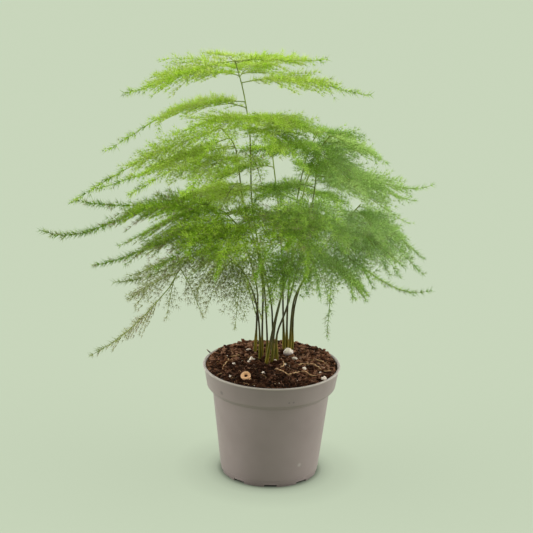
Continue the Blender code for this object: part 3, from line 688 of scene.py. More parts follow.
# Its shape, in shares of its half size: the body, the peak and where it stands, rough lumps, grain and pits.
STONE_BODY = 0.93
STONE_PEAK = 0.14
PEAK_PLACE = Vector((-0.12, -0.1, 1.0))
STONE_LUMPS = 0.16
STONE_GRAIN = 0.05
STONE_PITS = 0.5
PIT_REACH = 0.22
PUMICE_DARK = (0.44, 0.34, 0.29)
PUMICE_GREY = (0.76, 0.65, 0.55)
PUMICE_PALE = (0.92, 0.84, 0.70)
PUMICE_SHADED_FOOT = (0.33, 0.27, 0.25)
bm = bmesh.new()
bmesh.ops.create_icosphere(bm, subdivisions=5, radius=1.0)
for vert in bm.verts:
    side = vert.co.copy()
    peak = max(0.0, 1.0 - (side - PEAK_PLACE).length)
    rough = noise.noise(side * 1.6 + Vector((4.0, 0.0, 0.0))) * STONE_LUMPS
    rough += noise.noise(side * 6.0) * STONE_GRAIN
    pit = max(0.0, PIT_REACH - noise.voronoi(side * 2.4)[0][0]) * STONE_PITS
    side *= STONE_BODY + rough - pit + STONE_PEAK * peak
    vert.co = Vector(a * b for a, b in zip(side, STONE_HALF)) + STONE_CENTRE
pumice = Nodes("pale pumice", 0.8)
veins = pumice.noise(420.0, 4.0, 0.7)
pumice_tone = pumice.ramp(veins, [(0.28, PUMICE_DARK), (0.42, PUMICE_GREY), (0.60, PUMICE_PALE)])
# The stone's foot is painted darker, as painted shade.
height_share = pumice.sum("MULTIPLY", pumice.height(), 1.0 / (2 * STONE_HIGH.z))
foot = pumice.ramp(height_share, [(0.478, 1.0), (0.489, 0.0)])
pumice.colour(pumice.mix(foot, pumice_tone, PUMICE_SHADED_FOOT))
pumice.bump(pumice.noise(1600.0, 4.0), 0.25 * MM, 0.8)
stone = piece_from("pumice_stone", bm, pumice.material)
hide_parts("pale_stone")


# The bark curl is a strip of tan bark that dried into a ring, with one end sprung open. It leans in the
# crumbs by the front rim.
CURL_LOW, CURL_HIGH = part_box("bark_curl")
CURL_CENTRE = (CURL_LOW + CURL_HIGH) / 2
CURL_RADIUS = 3.0 * MM
CURL_THICKNESS = 1.5 * MM
CURL_LEAN = math.radians(35)
CURL_POINTS = 27
CURL_START = -40
CURL_STEP = 14
CURL_CLOSING = 0.004
CURL_THIN_END = 0.75
CURL_THIN_POINTS = 6
CURL_FLATNESS = 0.8
CURL_ROUGHNESS = 0.18
SPRUNG_END = Vector((3.9, -3.2, 0.0)) * MM
SPRUNG_SHARE = 0.6
BARK_BROWN = (0.40, 0.20, 0.09)
BARK_TAN = (0.66, 0.37, 0.17)
BARK_PALE = (0.80, 0.50, 0.27)
curl_points = [SPRUNG_END]
curl_shares = [SPRUNG_SHARE]
for step in range(CURL_POINTS):
    turn = math.radians(CURL_START + step * CURL_STEP)
    reach = CURL_RADIUS * (1.0 - CURL_CLOSING * step)
    curl_points.append(Vector((reach * math.cos(turn), reach * math.sin(turn), 0.0)))
    curl_shares.append(CURL_THIN_END + (1.0 - CURL_THIN_END) * min(1.0, step / CURL_THIN_POINTS))
curl_mesh = threads("bark_curl_ring", [(curl_points, curl_shares)], CURL_THICKNESS, 4)
bm = bmesh.new()
bm.from_mesh(curl_mesh)
for vert in bm.verts:
    vert.co.z *= CURL_FLATNESS
    vert.co += vert.normal * CURL_ROUGHNESS * MM * noise.noise(vert.co * 700.0)
bmesh.ops.rotate(bm, cent=(0, 0, 0), matrix=Matrix.Rotation(CURL_LEAN, 3, "X"), verts=bm.verts)
bmesh.ops.translate(bm, vec=CURL_CENTRE, verts=bm.verts)
bark = Nodes("tan bark", 0.7)
streaks = bark.noise(500.0, 4.0, 0.7)
bark.colour(bark.ramp(streaks, [(0.3, BARK_BROWN), (0.5, BARK_TAN), (0.75, BARK_PALE)]))
bark.bump(streaks, 0.3 * MM, 0.7)
curl = piece_from("bark_curl_ring", bm, bark.material)
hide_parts("bark_curl")


# The stems are twelve wiry stalks, each from a bud at the crown. A fleshy olive sheath wraps the foot, and
# above it the stalk is thin, dark and hard, with a small papery scale below each frond.
UP = Vector((0.0, 0.0, 1.0))
TIP = 999
# A course is in mm, from the soil up. A frond is given by the height it leaves the stem at, its heading in
# degrees from +X, how far it reaches, how much its tip rises, how much it arches, how much its tail sags
# before it levels out, and its half width. A minus sign marks a height on the way down, past the stem's
# highest point, and TIP its tip.
LEAFY_STEMS = {
    "leafy_stem_01": {
        "course": (
            (-4, 4, 98), (-5, 4, 130), (-10, 2, 185), (-20, 0, 240), (-23, 0, 300), (-29, 0, 338),
            (-37, 0, 366),
        ),
        "fronds": (
            (365, -164, 93, -23, 7, 6, 38),
            (364, 120, 34, 2, 2, 0, 20),
            (365, 6, 77, 2, 3, 3, 27),
            (363, 50, 42, 0, 2, 0, 22),
            (352, 75, 76, 0, 6, 4, 34),
            (347, -12, 108, -3, 11, 5, 33),
            (353, -158, 54, 5, 4, 2, 30),
            (331, 175, 118, -48, 17, 4, 31),
            (326, 160, 60, -14, 8, 0, 16),
            (319, 140, 86, -30, 6, 4, 20),
            (316, -44, 66, 6, 7, 4, 38),
            (314, -114, 82, -7, 14, 4, 38),
            (308, 41, 92, -22, 12, 4, 32),
            (304, -60, 95, -11, 16, 4, 38),
            (288, -62, 26, -30, 4, 0, 13),
            (212, -100, 42, -34, 8, 0, 30),
            (205, -70, 40, -38, 8, 0, 24),
        ),
    },
    "leafy_stem_02": {
        "course": (
            (-9, 11, 98), (-9, 11, 130), (-11, 13, 180), (-28, 17, 240), (-35, 20, 285), (-48, 22, 303),
        ),
        "fronds": (
            (303, -161, 130, -57, 6, 0, 31),
            (295, 168, 117, -54, 1, 3, 30),
            (288, -137, 117, -24, 11, 6, 36),
            (278, -113, 110, -6, 11, 5, 36),
            (250, 150, 96, -42, 12, 4, 32),
            (244, 118, 96, -40, 12, 4, 32),
            (256, -104, 78, -12, 10, 4, 30),
            (206, -152, 54, -38, 8, 0, 20),
            (136, 178, 18, 38, 0, 0, 7),
        ),
    },
    "leafy_stem_03": {
        "course": ((1, 8, 98), (0, 5, 130), (-3, -3, 162), (-16, -22, 212), (-42, -38, 246)),
        "fronds": (
            (246, -177, 152, -17, 30, 28, 34),
            (246, -118, 62, -20, 8, 2, 30),
            (245, -40, 46, -8, 8, 0, 22),
            (238, -162, 118, -30, 8, 8, 34),
            (225, -138, 98, -12, 13, 5, 32),
            (232, -101, 90, -18, 16, 5, 32),
            (222, -163, 115, -32, 4, 8, 24),
            (243, 157, 148, -6, 6, 6, 20),
            (243, 18, 40, -2, 5, 0, 20),
        ),
    },
    "leafy_stem_04": {
        "course": ((-5, -4, 98), (0, -7, 132), (6, -11, 162), (18, -22, 212), (30, -34, 255)),
        "fronds": (
            (255, -94, 80, -42, 20, 3, 34),
            (248, -118, 96, -36, 20, 3, 32),
            (240, -66, 76, -8, 14, 5, 32),
            (232, -99, 100, 12, 10, 6, 30),
            (225, -62, 38, -48, 12, 0, 22),
            (205, -122, 42, -40, 8, 0, 24),
        ),
    },
    "leafy_stem_05": {
        "course": (
            (0, -1, 98), (2, -1, 134), (7, 2, 162), (14, 12, 215), (24, 22, 275), (34, 28, 300),
        ),
        "fronds": (
            (300, 52, 56, -22, 6, 3, 28),
            (290, -75, 72, -14, 12, 5, 34),
            (288, -160, 38, -6, 5, 0, 26),
            (268, 66, 84, -36, 10, 4, 30),
            (254, -136, 54, -4, 6, 2, 22),
            (215, -72, 46, -42, 8, 0, 28),
            (203, -89, 38, -38, 8, 0, 26),
        ),
    },
    "leafy_stem_06": {
        "course": (
            (5, 4, 98), (4, 5, 124), (14, 8, 156), (31, 10, 240), (35, 8, 285), (44, 4, 303),
        ),
        "fronds": (
            (303, 4, 50, -24, 3, 0, 26),
            (297, 47, 52, -18, 4, 3, 28),
            (286, -58, 74, -20, 6, 5, 24),
            (270, -10, 100, -4, 8, 12, 38),
            (266, -24, 92, -9, 8, 6, 30),
            (262, -40, 100, -17, 12, 6, 32),
            (256, 172, 50, -12, 8, 2, 22),
            (205, -58, 46, -40, 8, 0, 28),
        ),
    },
    "leafy_stem_07": {
        "course": ((11, 35, 98), (9, 36, 136), (8, 38, 162), (4, 50, 215), (-4, 62, 272)),
        "fronds": (
            (272, 105, 68, -32, 14, 3, 34),
            (260, 145, 78, -34, 12, 4, 32),
            (240, 86, 82, -36, 13, 4, 34),
            (217, 118, 76, -40, 13, 3, 30),
            (196, -160, 60, -38, 8, 0, 20),
        ),
    },
    "leafy_stem_08": {
        "course": ((13, 30, 98), (13, 30, 150), (17, 34, 200), (26, 44, 250), (38, 58, 275)),
        "fronds": (
            (275, 84, 70, -30, 12, 3, 32),
            (264, 30, 76, -30, 12, 4, 32),
            (240, 62, 90, -38, 13, 4, 32),
            (224, 100, 80, -42, 13, 3, 30),
            (200, 4, 62, -46, 8, 0, 28),
        ),
    },
    "leafy_stem_09": {
        "course": ((16, 27, 98), (17, 26, 140), (24, 22, 165), (50, 10, 215), (72, 0, 245)),
        "fronds": (
            (243, -18, 20, -12, 3, 0, 12),
            (240, -30, 66, -46, 4, 3, 25),
            (237, -8, 62, -38, 9, 2, 28),
            (236, -77, 90, 4, 10, 6, 32),
            (230, -50, 58, -36, 10, 3, 26),
            (226, -80, 52, -53, 12, 0, 26),
            (216, -52, 54, -36, 10, 2, 26),
            (219, -103, 26, -90, 8, 0, 14),
            (194, -22, 46, -36, 8, 0, 26),
        ),
    },
    "leafy_stem_10": {
        "course": ((18, 33, 98), (19, 34, 140), (30, 38, 170), (60, 47, 205), (84, 52, 218)),
        "fronds": (
            (212, -6, 46, -38, 4, 2, 20),
            (211, -48, 60, -32, 10, 3, 26),
            (205, 59, 56, -36, 12, 3, 30),
            (194, -10, 90, -34, -2, 10, 14),
            (184, 24, 50, -42, 6, 0, 28),
        ),
    },
    "leafy_stem_11": {
        "course": ((-15, 25, 98), (-14, 26, 130), (-15, 30, 160), (-30, 44, 200), (-58, 58, 222)),
        "fronds": (
            (222, 163, 88, -46, 8, 4, 32),
            (216, -168, 84, -42, 14, 4, 28),
            (218, 122, 82, -30, 13, 4, 32),
            (203, 98, 84, -34, 13, 4, 32),
            (188, 150, 62, -36, 12, 3, 26),
            (132, 165, 13, 40, 0, 0, 6),
        ),
    },
    "leafy_stem_12": {
        "course": (
            (-10, 6, 98), (-12, 4, 135), (-18, 0, 165), (-32, -8, 192), (-54, -17, 206),
            (-75, -24, 197), (-88, -28, 176),
        ),
        "fronds": (
            (TIP, -171, 68, -60, -7, 0, 22),
            (-201, -165, 56, -14, 5, 3, 26),
            (-188, -163, 44, -20, 4, 3, 30),
            (-183, -120, 12, -34, 3, 0, 12),
            (-192, -38, 26, -38, 3, 0, 16),
            (204, -112, 46, -26, 8, 3, 26),
            (200, -75, 40, -34, 8, 2, 26),
            (185, -96, 45, -38, 8, 2, 24),
            (196, -120, 42, -36, 8, 0, 24),
        ),
    },
}
ROOTED_TO = 88.0 * MM
STALK_STEP = 4
STALK_FOOT = 1.45 * MM
STALK_SHEATH_TOP = 113.0 * MM
STALK_BARE = 122.0 * MM
# The radius in the sheath, above it and at the tip, and a rachis's at both ends, as shares of the foot's.
STALK_SHARES = (1.0, 0.6, 0.36)
RACHIS_SHARES = (0.34, 0.09)
SHEATH_SWELLING = 0.12
SHEATH_CURVE = 0.7
RACHIS_PIECES = 16
# Makes the tail's curve, t * t * (1 - t), one unit deep at its lowest.
TAIL_UNIT = 6.75
SCALE_LENGTH = 2.6 * MM
SCALE_RADIUS = 0.8 * MM
SCALE_FLATNESS = 0.45
SCALE_TILT = math.radians(150)


def stalk_share(height, top):
    """The stalk's radius as a share of its foot's: fleshy in the sheath, then thin."""
    sheath, bare, tip = STALK_SHARES
    if height < STALK_SHEATH_TOP:
        along = (height - SOIL_CROWN) / (STALK_SHEATH_TOP - SOIL_CROWN)
        return sheath + SHEATH_SWELLING * math.sin(math.pi * along)
    if height < STALK_BARE:
        blend = (height - STALK_SHEATH_TOP) / (STALK_BARE - STALK_SHEATH_TOP)
        return sheath + (bare - sheath) * blend**SHEATH_CURVE
    return bare + (tip - bare) * (height - STALK_BARE) / (top - STALK_BARE)


def point_at_height(line, height):
    """The stem's point at this height, looked for from its tip where the height is negative."""
    if height < 0.0:
        line = line[::-1]
        height = -height
    for low, high in zip(line, line[1:]):
        if low.z <= height <= high.z:
            return low.lerp(high, (height - low.z) / (high.z - low.z))
    return line[0 if line[0].z > height else -1].copy()


def rachis_line(start, frond):
    """Points along a rachis: an arch with a tail that sags and then levels out."""
    _, heading, reach, rise, arch, tail, _ = frond
    angle = math.radians(heading)
    along = Vector((math.cos(angle), math.sin(angle), 0.0))
    points = []
    for piece in range(RACHIS_PIECES + 1):
        t = piece / RACHIS_PIECES
        height = rise * t + arch * math.sin(math.pi * t) - tail * TAIL_UNIT * t * t * (1.0 - t)
        points.append(start + along * reach * t * MM + UP * height * MM)
    return points


STALK_DARK = (0.028, 0.022, 0.009)
STALK_OLIVE = (0.085, 0.082, 0.014)
SHEATH_OLIVE = (0.042, 0.060, 0.004)
SHEATH_GOLD = (0.24, 0.17, 0.012)
RACHIS_OLIVE = (0.22, 0.26, 0.06)
RACHIS_GREEN = (0.34, 0.45, 0.11)
CROWN = (0.0, 10 * MM, SOIL_CROWN)
SHADED_INNER_STALKS = (-18 * MM, 0.0, 262 * MM)
wiry = Nodes("wiry stalk", 0.55, specular=0.2)
stripes = wiry.noise(900.0, 3.0, 0.6, (1.0, 1.0, 0.08))
sheath = wiry.ramp(stripes, [(0.35, SHEATH_OLIVE), (0.72, SHEATH_GOLD)])
dark = wiry.ramp(stripes, [(0.4, STALK_DARK), (0.7, STALK_OLIVE)])
green = wiry.ramp(stripes, [(0.35, RACHIS_OLIVE), (0.65, RACHIS_GREEN)])
# The sheath ends by its height. The hard dark stalk turns green away from the crown, the inner ones less so.
above_sheath = wiry.ramp(wiry.height(), [(0.112, 0.0), (0.124, 1.0)])
up_in_leaf = wiry.ramp(wiry.distance(CROWN), [(0.050, 0.0), (0.100, 1.0)])
# The inner stalks are painted olive rather than green, as painted shade.
inner = wiry.ramp(wiry.distance(SHADED_INNER_STALKS), [(0.030, 0.75), (0.060, 0.0)])
hard_stalk = wiry.mix(up_in_leaf, dark, wiry.mix(inner, green, STALK_OLIVE))
wiry.colour(wiry.mix(above_sheath, sheath, hard_stalk))
wiry.bump(stripes, 0.15 * MM, 0.5)

bm = bmesh.new()
bmesh.ops.create_cone(
    bm, cap_ends=True, segments=4, radius1=SCALE_RADIUS, radius2=0.0, depth=SCALE_LENGTH
)
bmesh.ops.translate(bm, vec=(0.0, 0.0, SCALE_LENGTH / 2), verts=bm.verts)
bmesh.ops.scale(bm, vec=(SCALE_FLATNESS, 1.0, 1.0), verts=bm.verts)
scale_mesh = mesh_from("papery_scale", bm)

# Each stem's rachises, from which its fronds grow in the next section.
stems = {}
for name, plan in LEAFY_STEMS.items():
    course = [Vector(point) * MM for point in plan["course"]]
    lean = (course[1] - course[0]).normalized()
    course.insert(0, course[0] + lean * ((ROOTED_TO - course[0].z) / lean.z))
    stalk = curved(course, STALK_STEP)
    top = max(point.z for point in stalk)
    shares = [stalk_share(point.z, top) for point in stalk]
    rachises = []
    for frond in plan["fronds"]:
        rachises.append(rachis_line(point_at_height(stalk, frond[0] * MM), frond))
    stems[name] = rachises
    tubes = [(stalk, shares)]
    for line in rachises:
        thick, thin = RACHIS_SHARES
        tubes.append((line, [thick + (thin - thick) * spot / RACHIS_PIECES for spot in range(len(line))]))
    bm = bmesh.new()
    bm.from_mesh(threads(name, tubes, STALK_FOOT, 1))
    for line in rachises:
        out = (line[1] - line[0]).to_track_quat("X", "Z").to_matrix().to_4x4()
        copy_into(bm, scale_mesh, Matrix.Translation(line[0]) @ out @ Matrix.Rotation(SCALE_TILT, 4, "Y"))
    piece_from(f"stalk_{name[-2:]}", bm, wiry.material)


# The fronds are flat sprays of thread-like leaf shoots, which gardeners take for needles. They grow in tufts
# at each joint of the twigs, and the twigs leave the rachis in two rows, like the barbs of a feather.
JOINT = 3.1 * MM
NEEDLE = 6.8 * MM
NEEDLE_RADIUS = 0.24 * MM
TWIG_RADIUS = 0.21 * MM
OPEN_TWIG_RADIUS = 0.30 * MM
TUFT_KINDS = 8
# Each needle of a tuft: how far it turns round the twig, from the right over the top, how far it opens, and
# its length as a share of a needle's.
TUFT = ((5, 30, 1.0), (50, 38, 0.95), (105, 56, 1.0), (150, 36, 1.0), (205, 30, 1.0))
OPEN_TUFT = ((5, 42, 0.95), (175, 42, 0.95), (90, 56, 0.8))
NEEDLE_LENGTHS = (0.75, 1.15)
NEEDLE_SWING = 12
NEEDLE_TURN = 18
# A joint's bit of twig reaches into the next joint.
JOINT_OVERLAP = 1.8
# Shares of a twig's length: the bare root of a branched one, and where its last twiglet leaves.
BARE_ROOT = 0.1
TWIGLETS_END = 0.85
TWIG_TAPER = 0.35
JOINT_SIZES = (0.85, 1.15)
JOINT_TONES = 0.20
TWIGLET_ANGLE = math.radians(46)
TWIGLET_TILT = 0.3
TWIGLET_LENGTH = 15.0 * MM
TWIGLET_SHARE = 0.6
LEAST_TWIGLET = 3.0 * MM
TWIGLET_LENGTHS = (0.75, 1.1)
TWIGLET_BEND = 0.3
TWIGLET_SIZE = 0.9
# A rachis is bare along its petiole. A narrow frond is less lush than one of full width.
TWIG_SPACING = 4.0 * MM
SPACING_SPREAD = 0.6
PETIOLE = 0.07
FULL_WIDTH = 38.0
NARROW_LUSH = 0.4
LEAST_TWIGS = 5
# Twigs stand out at a rachis's base and sweep forward past this share of it.
TWIG_FORWARD = 0.62
BASE_FORWARD = 0.10
SWEPT_SHARE = 0.3
TWIG_SIDEWAYS = 0.78
TWIG_BEND = 0.35
TWIG_SAG = 0.18
TWIG_LENGTHS = (0.6, 1.15)
TWIG_TONES = 0.15
BRANCHED_TWIG = 4 * JOINT
# Twigs lie level at this height, rise above it and droop below it: leans by height, and the most.
LEVEL_TWIGS = 250.0 * MM
RISE_RATE = 1.2
DROOP_RATE = 3.5
MOST_RISE = 0.03
MOST_DROOP = 0.30
TWIG_SPREAD = 0.20
NEAR_LIFT = 0.04
# A frond's outline, in shares of its length and of its half width: how soon it swells, its body, its tail.
# The body ends sooner in a long frond than in a short one.
OUTLINE_START = 0.04
OUTLINE_SWELLING = 0.14
BODY_END = 0.68
SHORT_BODY_END = 0.97
SHORT_FROND = 60.0 * MM
LONG_FROND = 160.0 * MM
BODY_CURVE = 1.6
BODY_WIDTH = 1.1
TAIL_WIDTH = 0.16
# A tail begins a little before the body ends. Its twigs are short, roll round it and are sometimes missing.
TAIL_LEAD = 0.25
TAIL_BLEND = 0.3
TAIL_GAPS = 0.35
TAIL_TWIG = 7.5 * MM
TAIL_WHORLS = 1.3
RACHIS_TUFTS = 0.5
MORE_TAIL_TUFTS = 0.3
TIP_THINNING = 0.10
TIP_TAPER = 1.2
TAPER_START = 0.8
TIP_TONES = (0.35, 0.80)
END_DARKENING = 0.25
# How young and pale each stem's needles are, how lush its fronds, how many of their tufts are loose, and
# how big the needles are. A frond that leaves its stem high up is young, and its tufts are mostly closed.
GROWTH = {
    "leafy_stem_01": (0.86, 1.05, 0.1, 1.0), "leafy_stem_02": (0.88, 1.15, 0.3, 1.0),
    "leafy_stem_03": (0.48, 1.45, 0.9, 1.0), "leafy_stem_04": (0.44, 1.6, 0.1, 1.0),
    "leafy_stem_05": (0.50, 1.6, 0.1, 1.0), "leafy_stem_06": (0.92, 1.1, 0.5, 0.9),
    "leafy_stem_07": (0.40, 0.9, 0.6, 0.95), "leafy_stem_08": (0.52, 1.1, 0.6, 0.9),
    "leafy_stem_09": (0.46, 1.4, 0.5, 0.95), "leafy_stem_10": (0.46, 1.55, 0.5, 0.95),
    "leafy_stem_11": (0.44, 0.9, 0.9, 0.95), "leafy_stem_12": (0.42, 1.1, 1.0, 0.92),
}
OLD_FROND = 205.0 * MM
YOUNG_FROND = 245.0 * MM
YOUNG_LOOSE = 0.2
STEM_TONES = 0.08


def twig_lean(height):
    """How far a frond's twigs rise from its plane: up in the top fronds, and down in the low ones."""
    if height > LEVEL_TWIGS:
        return min(MOST_RISE, (height - LEVEL_TWIGS) * RISE_RATE)
    return max(-MOST_DROOP, (height - LEVEL_TWIGS) * DROOP_RATE)


def body_end(reach):
    """Where a frond's body ends: a long frond has a narrow tail along its outer third."""
    long = min(1.0, max(0.0, (reach - SHORT_FROND) / (LONG_FROND - SHORT_FROND)))
    return SHORT_BODY_END + (BODY_END - SHORT_BODY_END) * long


def half_width_at(share, half_width, reach):
    """The frond's outline: broad near its base, and narrow past the end of its body."""
    swelling = min(1.0, (share - OUTLINE_START) / OUTLINE_SWELLING)
    body = max(0.0, 1.0 - (share / body_end(reach)) ** BODY_CURVE)
    return half_width * MM * swelling * (BODY_WIDTH * body + TAIL_WIDTH * (1.0 - share))


def tuft_mesh(name, draw, needles, twig_radius):
    """One joint of a twig: a bit of the twig, along +X, and the needles round its foot."""
    bm = bmesh.new()
    bark = bm.verts.layers.float.new("bark")

    def spike(radius, length, opened, turned):
        """A thin cone from the foot, opened from the twig and turned round it by so many degrees."""
        made = bmesh.ops.create_cone(bm, cap_ends=True, segments=3, radius1=radius, radius2=0.0, depth=length)
        bmesh.ops.translate(bm, vec=(0.0, 0.0, length / 2), verts=made["verts"])
        open_out = Matrix.Rotation(math.radians(90 - opened), 3, "Y")
        turn = Matrix.Rotation(math.radians(turned - 90), 3, "X")
        bmesh.ops.rotate(bm, cent=(0, 0, 0), matrix=turn @ open_out, verts=made["verts"])
        return made["verts"]

    if twig_radius > 0.0:
        for vert in spike(twig_radius, JOINT * JOINT_OVERLAP, 0.0, 0.0):
            vert[bark] = 1.0
    for turned, opened, share in needles:
        length = NEEDLE * share * draw.uniform(*NEEDLE_LENGTHS)
        opened += draw.uniform(-NEEDLE_SWING, NEEDLE_SWING)
        turned += draw.uniform(-NEEDLE_TURN, NEEDLE_TURN)
        spike(NEEDLE_RADIUS, length, opened, turned)
    return toned_mesh(name, bm)


def tuft_kinds(name, draw, needles, twig_radius):
    """Tufts that differ a little. The needles of whorls sit on a rachis, with no twig of their own."""
    return [tuft_mesh(f"{name}_{kind}", draw, needles, twig_radius) for kind in range(TUFT_KINDS)]


draw = random.Random(5)
tufts = tuft_kinds("tuft", draw, TUFT, TWIG_RADIUS)
open_tufts = tuft_kinds("open_tuft", draw, OPEN_TUFT, OPEN_TWIG_RADIUS)
whorls = tuft_kinds("whorl", draw, OPEN_TUFT, 0.0)
bare_joint = tuft_mesh("bare_joint", draw, (), TWIG_RADIUS)


def facing(point, forward, normal, size):
    """A place at the point, with +X forward and +Z as near the normal as it can be."""
    side = normal.cross(forward).normalized()
    over = forward.cross(side)
    turn = Matrix((forward, side, over)).transposed().to_4x4()
    return Matrix.Translation(point) @ turn @ Matrix.Scale(size, 4)


def grow_twig(bm, draw, root, aim, normal, length, sag, tone, size, loose, branched):
    """Lays joints along a twig that bends towards its frond's tip, and twiglets on its inner part."""
    joints = max(1, round(length / JOINT))
    hand = draw.choice((-1.0, 1.0))
    for joint in range(joints):
        share = joint / joints
        point = root + aim * length * share + sag * length * share * share
        forward = (aim + 2.0 * share * sag).normalized()
        kind = draw.choice(open_tufts if draw.random() < loose else tufts)
        if branched and share < BARE_ROOT:
            kind = bare_joint
        scale = size * (1.0 - TWIG_TAPER * share) * draw.uniform(*JOINT_SIZES)
        joint_tone = tone - END_DARKENING * share + draw.uniform(-JOINT_TONES, JOINT_TONES)
        copy_into(bm, kind, facing(point, forward, normal, scale), joint_tone)
        if branched and joint % 2 == 1 and share < TWIGLETS_END:
            hand = -hand
            hinge = normal + UP * draw.uniform(-TWIGLET_TILT, TWIGLET_TILT) + sag
            out = Matrix.Rotation(hand * TWIGLET_ANGLE, 3, hinge) @ forward
            reach = min(TWIGLET_LENGTH, TWIGLET_SHARE * (1.0 - share) * length + LEAST_TWIGLET)
            reach *= draw.uniform(*TWIGLET_LENGTHS)
            bend = forward * TWIGLET_BEND
            grow_twig(bm, draw, point, out, normal, reach, bend, tone, size * TWIGLET_SIZE, loose, False)


def grow_frond(bm, draw, line, half_width, tone, lush, loose, full):
    """Twigs in two rows along a rachis, sparser and shorter towards its tip, and a few tufts on it."""
    reach = sum((b - a).length for a, b in zip(line, line[1:]))
    lush *= NARROW_LUSH + (1.0 - NARROW_LUSH) * min(1.0, half_width / FULL_WIDTH)
    stations = max(LEAST_TWIGS, round(2 * reach * (1.0 - PETIOLE) / TWIG_SPACING * lush))
    lean = twig_lean(line[0].z)
    hand = draw.choice((-1.0, 1.0))
    for station in range(stations):
        hand = -hand
        share = PETIOLE + (1.0 - PETIOLE) * (station + draw.uniform(0.0, SPACING_SPREAD)) / stations
        spot = share * (len(line) - 1)
        index = min(int(spot), len(line) - 2)
        a, b = line[index], line[index + 1]
        point = a.lerp(b, spot - index)
        forward = (b - a).normalized()
        side = forward.cross(UP).normalized()
        swept = BASE_FORWARD + (TWIG_FORWARD - BASE_FORWARD) * min(1.0, share / SWEPT_SHARE)
        aim = forward * swept + side * hand * TWIG_SIDEWAYS
        near = max(0.0, -side.y * hand)
        aim += UP * (lean + NEAR_LIFT * near + draw.uniform(-TWIG_SPREAD, TWIG_SPREAD) * lush)
        aim.normalize()
        normal = side.cross(forward)
        outer = min(1.0, max(0.0, (share + TAIL_LEAD - body_end(reach)) / TAIL_BLEND))
        size = full * (1.0 - TIP_THINNING * outer - TIP_TAPER * max(0.0, share - TAPER_START))
        twig_tone = tone + draw.uniform(-TWIG_TONES, TWIG_TONES)
        twig_tone += (draw.uniform(*TIP_TONES) * tone - twig_tone) * outer
        if draw.random() < outer:
            roll = Matrix.Rotation(draw.uniform(0.0, math.tau), 3, forward)
            aim = roll @ aim
            normal = roll @ normal
        length = max(half_width_at(share, half_width, reach), TAIL_TWIG * size) * draw.uniform(*TWIG_LENGTHS)
        if draw.random() < 1.0 - TAIL_GAPS * outer:
            bend = forward * TWIG_BEND - UP * TWIG_SAG
            branched = length > BRANCHED_TWIG
            grow_twig(bm, draw, point, aim, normal, length, bend, twig_tone, size, loose, branched)
        for spare in range(1 + round(outer)):
            place = point + forward * TWIG_SPACING * draw.uniform(-0.5, 0.5)
            if draw.random() < RACHIS_TUFTS + MORE_TAIL_TUFTS * outer:
                rolled = Matrix.Rotation(draw.uniform(-1.0, 1.0) * math.pi * outer, 3, forward) @ normal
                hairy = size * (1.0 + (TAIL_WHORLS - 1.0) * outer)
                copy_into(bm, draw.choice(whorls), facing(place, forward, rolled, hairy), twig_tone)


NEEDLE_DRY = (0.280, 0.240, 0.130)
NEEDLE_OLIVE = (0.300, 0.350, 0.080)
NEEDLE_OLD = (0.130, 0.280, 0.008)
NEEDLE_MID = (0.480, 0.710, 0.055)
NEEDLE_YOUNG = (0.520, 0.635, 0.150)
NEEDLE_BLUISH = (0.460, 0.660, 0.260)
BLUISH_SIDE = (95 * MM, -10 * MM, 240 * MM)
SHADED_HEART = (12 * MM, -34 * MM, 288 * MM)
DRY_SIDE = (-80 * MM, -30 * MM, 140 * MM)
NEEDLE_MAUVE = (0.420, 0.370, 0.230)
TWIG_OLIVE = (0.17, 0.20, 0.035)
TWIG_MAUVE = (0.16, 0.11, 0.07)
leaf = Nodes("fern needles", 0.6, specular=0.08)
leaf_tone = leaf.ramp(
    leaf.attribute("tone"),
    [(0.0, NEEDLE_DRY), (0.09, NEEDLE_OLIVE), (0.26, NEEDLE_OLD), (0.62, NEEDLE_MID), (0.95, NEEDLE_YOUNG)],
)
# Old fronds are bluish at the right and dry and mauve low at the left. The plant's heart is darker.
bluish_side = leaf.ramp(leaf.distance(BLUISH_SIDE), [(0.050, 0.65), (0.130, 0.0)])
# The heart is painted darker, partly for its older needles and partly as painted shade.
heart_age_and_shade = leaf.ramp(leaf.distance(SHADED_HEART), [(0.020, 1.0), (0.036, 0.0)])
leaf_green = leaf.mix(heart_age_and_shade, leaf.mix(bluish_side, leaf_tone, NEEDLE_BLUISH), NEEDLE_OLD)
dry_side = leaf.ramp(leaf.distance(DRY_SIDE), [(0.036, 0.75), (0.098, 0.0)])
leaf_green = leaf.mix(dry_side, leaf_green, NEEDLE_MAUVE)
twig_colour = leaf.ramp(leaf.attribute("tone"), [(0.1, TWIG_MAUVE), (0.5, TWIG_OLIVE)])
leaf.colour(leaf.mix(leaf.attribute("bark"), leaf_green, twig_colour))

for name, rachises in stems.items():
    draw = random.Random(name)
    bm = bmesh.new()
    for line, frond in zip(rachises, LEAFY_STEMS[name]["fronds"]):
        young, lush, loose, full = GROWTH[name]
        age = min(1.0, max(0.0, (YOUNG_FROND - line[0].z) / (YOUNG_FROND - OLD_FROND)))
        loose *= YOUNG_LOOSE + (1.0 - YOUNG_LOOSE) * age
        tone = young + draw.uniform(-STEM_TONES, STEM_TONES)
        grow_frond(bm, draw, line, frond[-1], tone, lush, loose, full)
    fronds = piece_from(f"fronds_{name[-2:]}", bm, leaf.material, smooth=False)
    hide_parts(name)


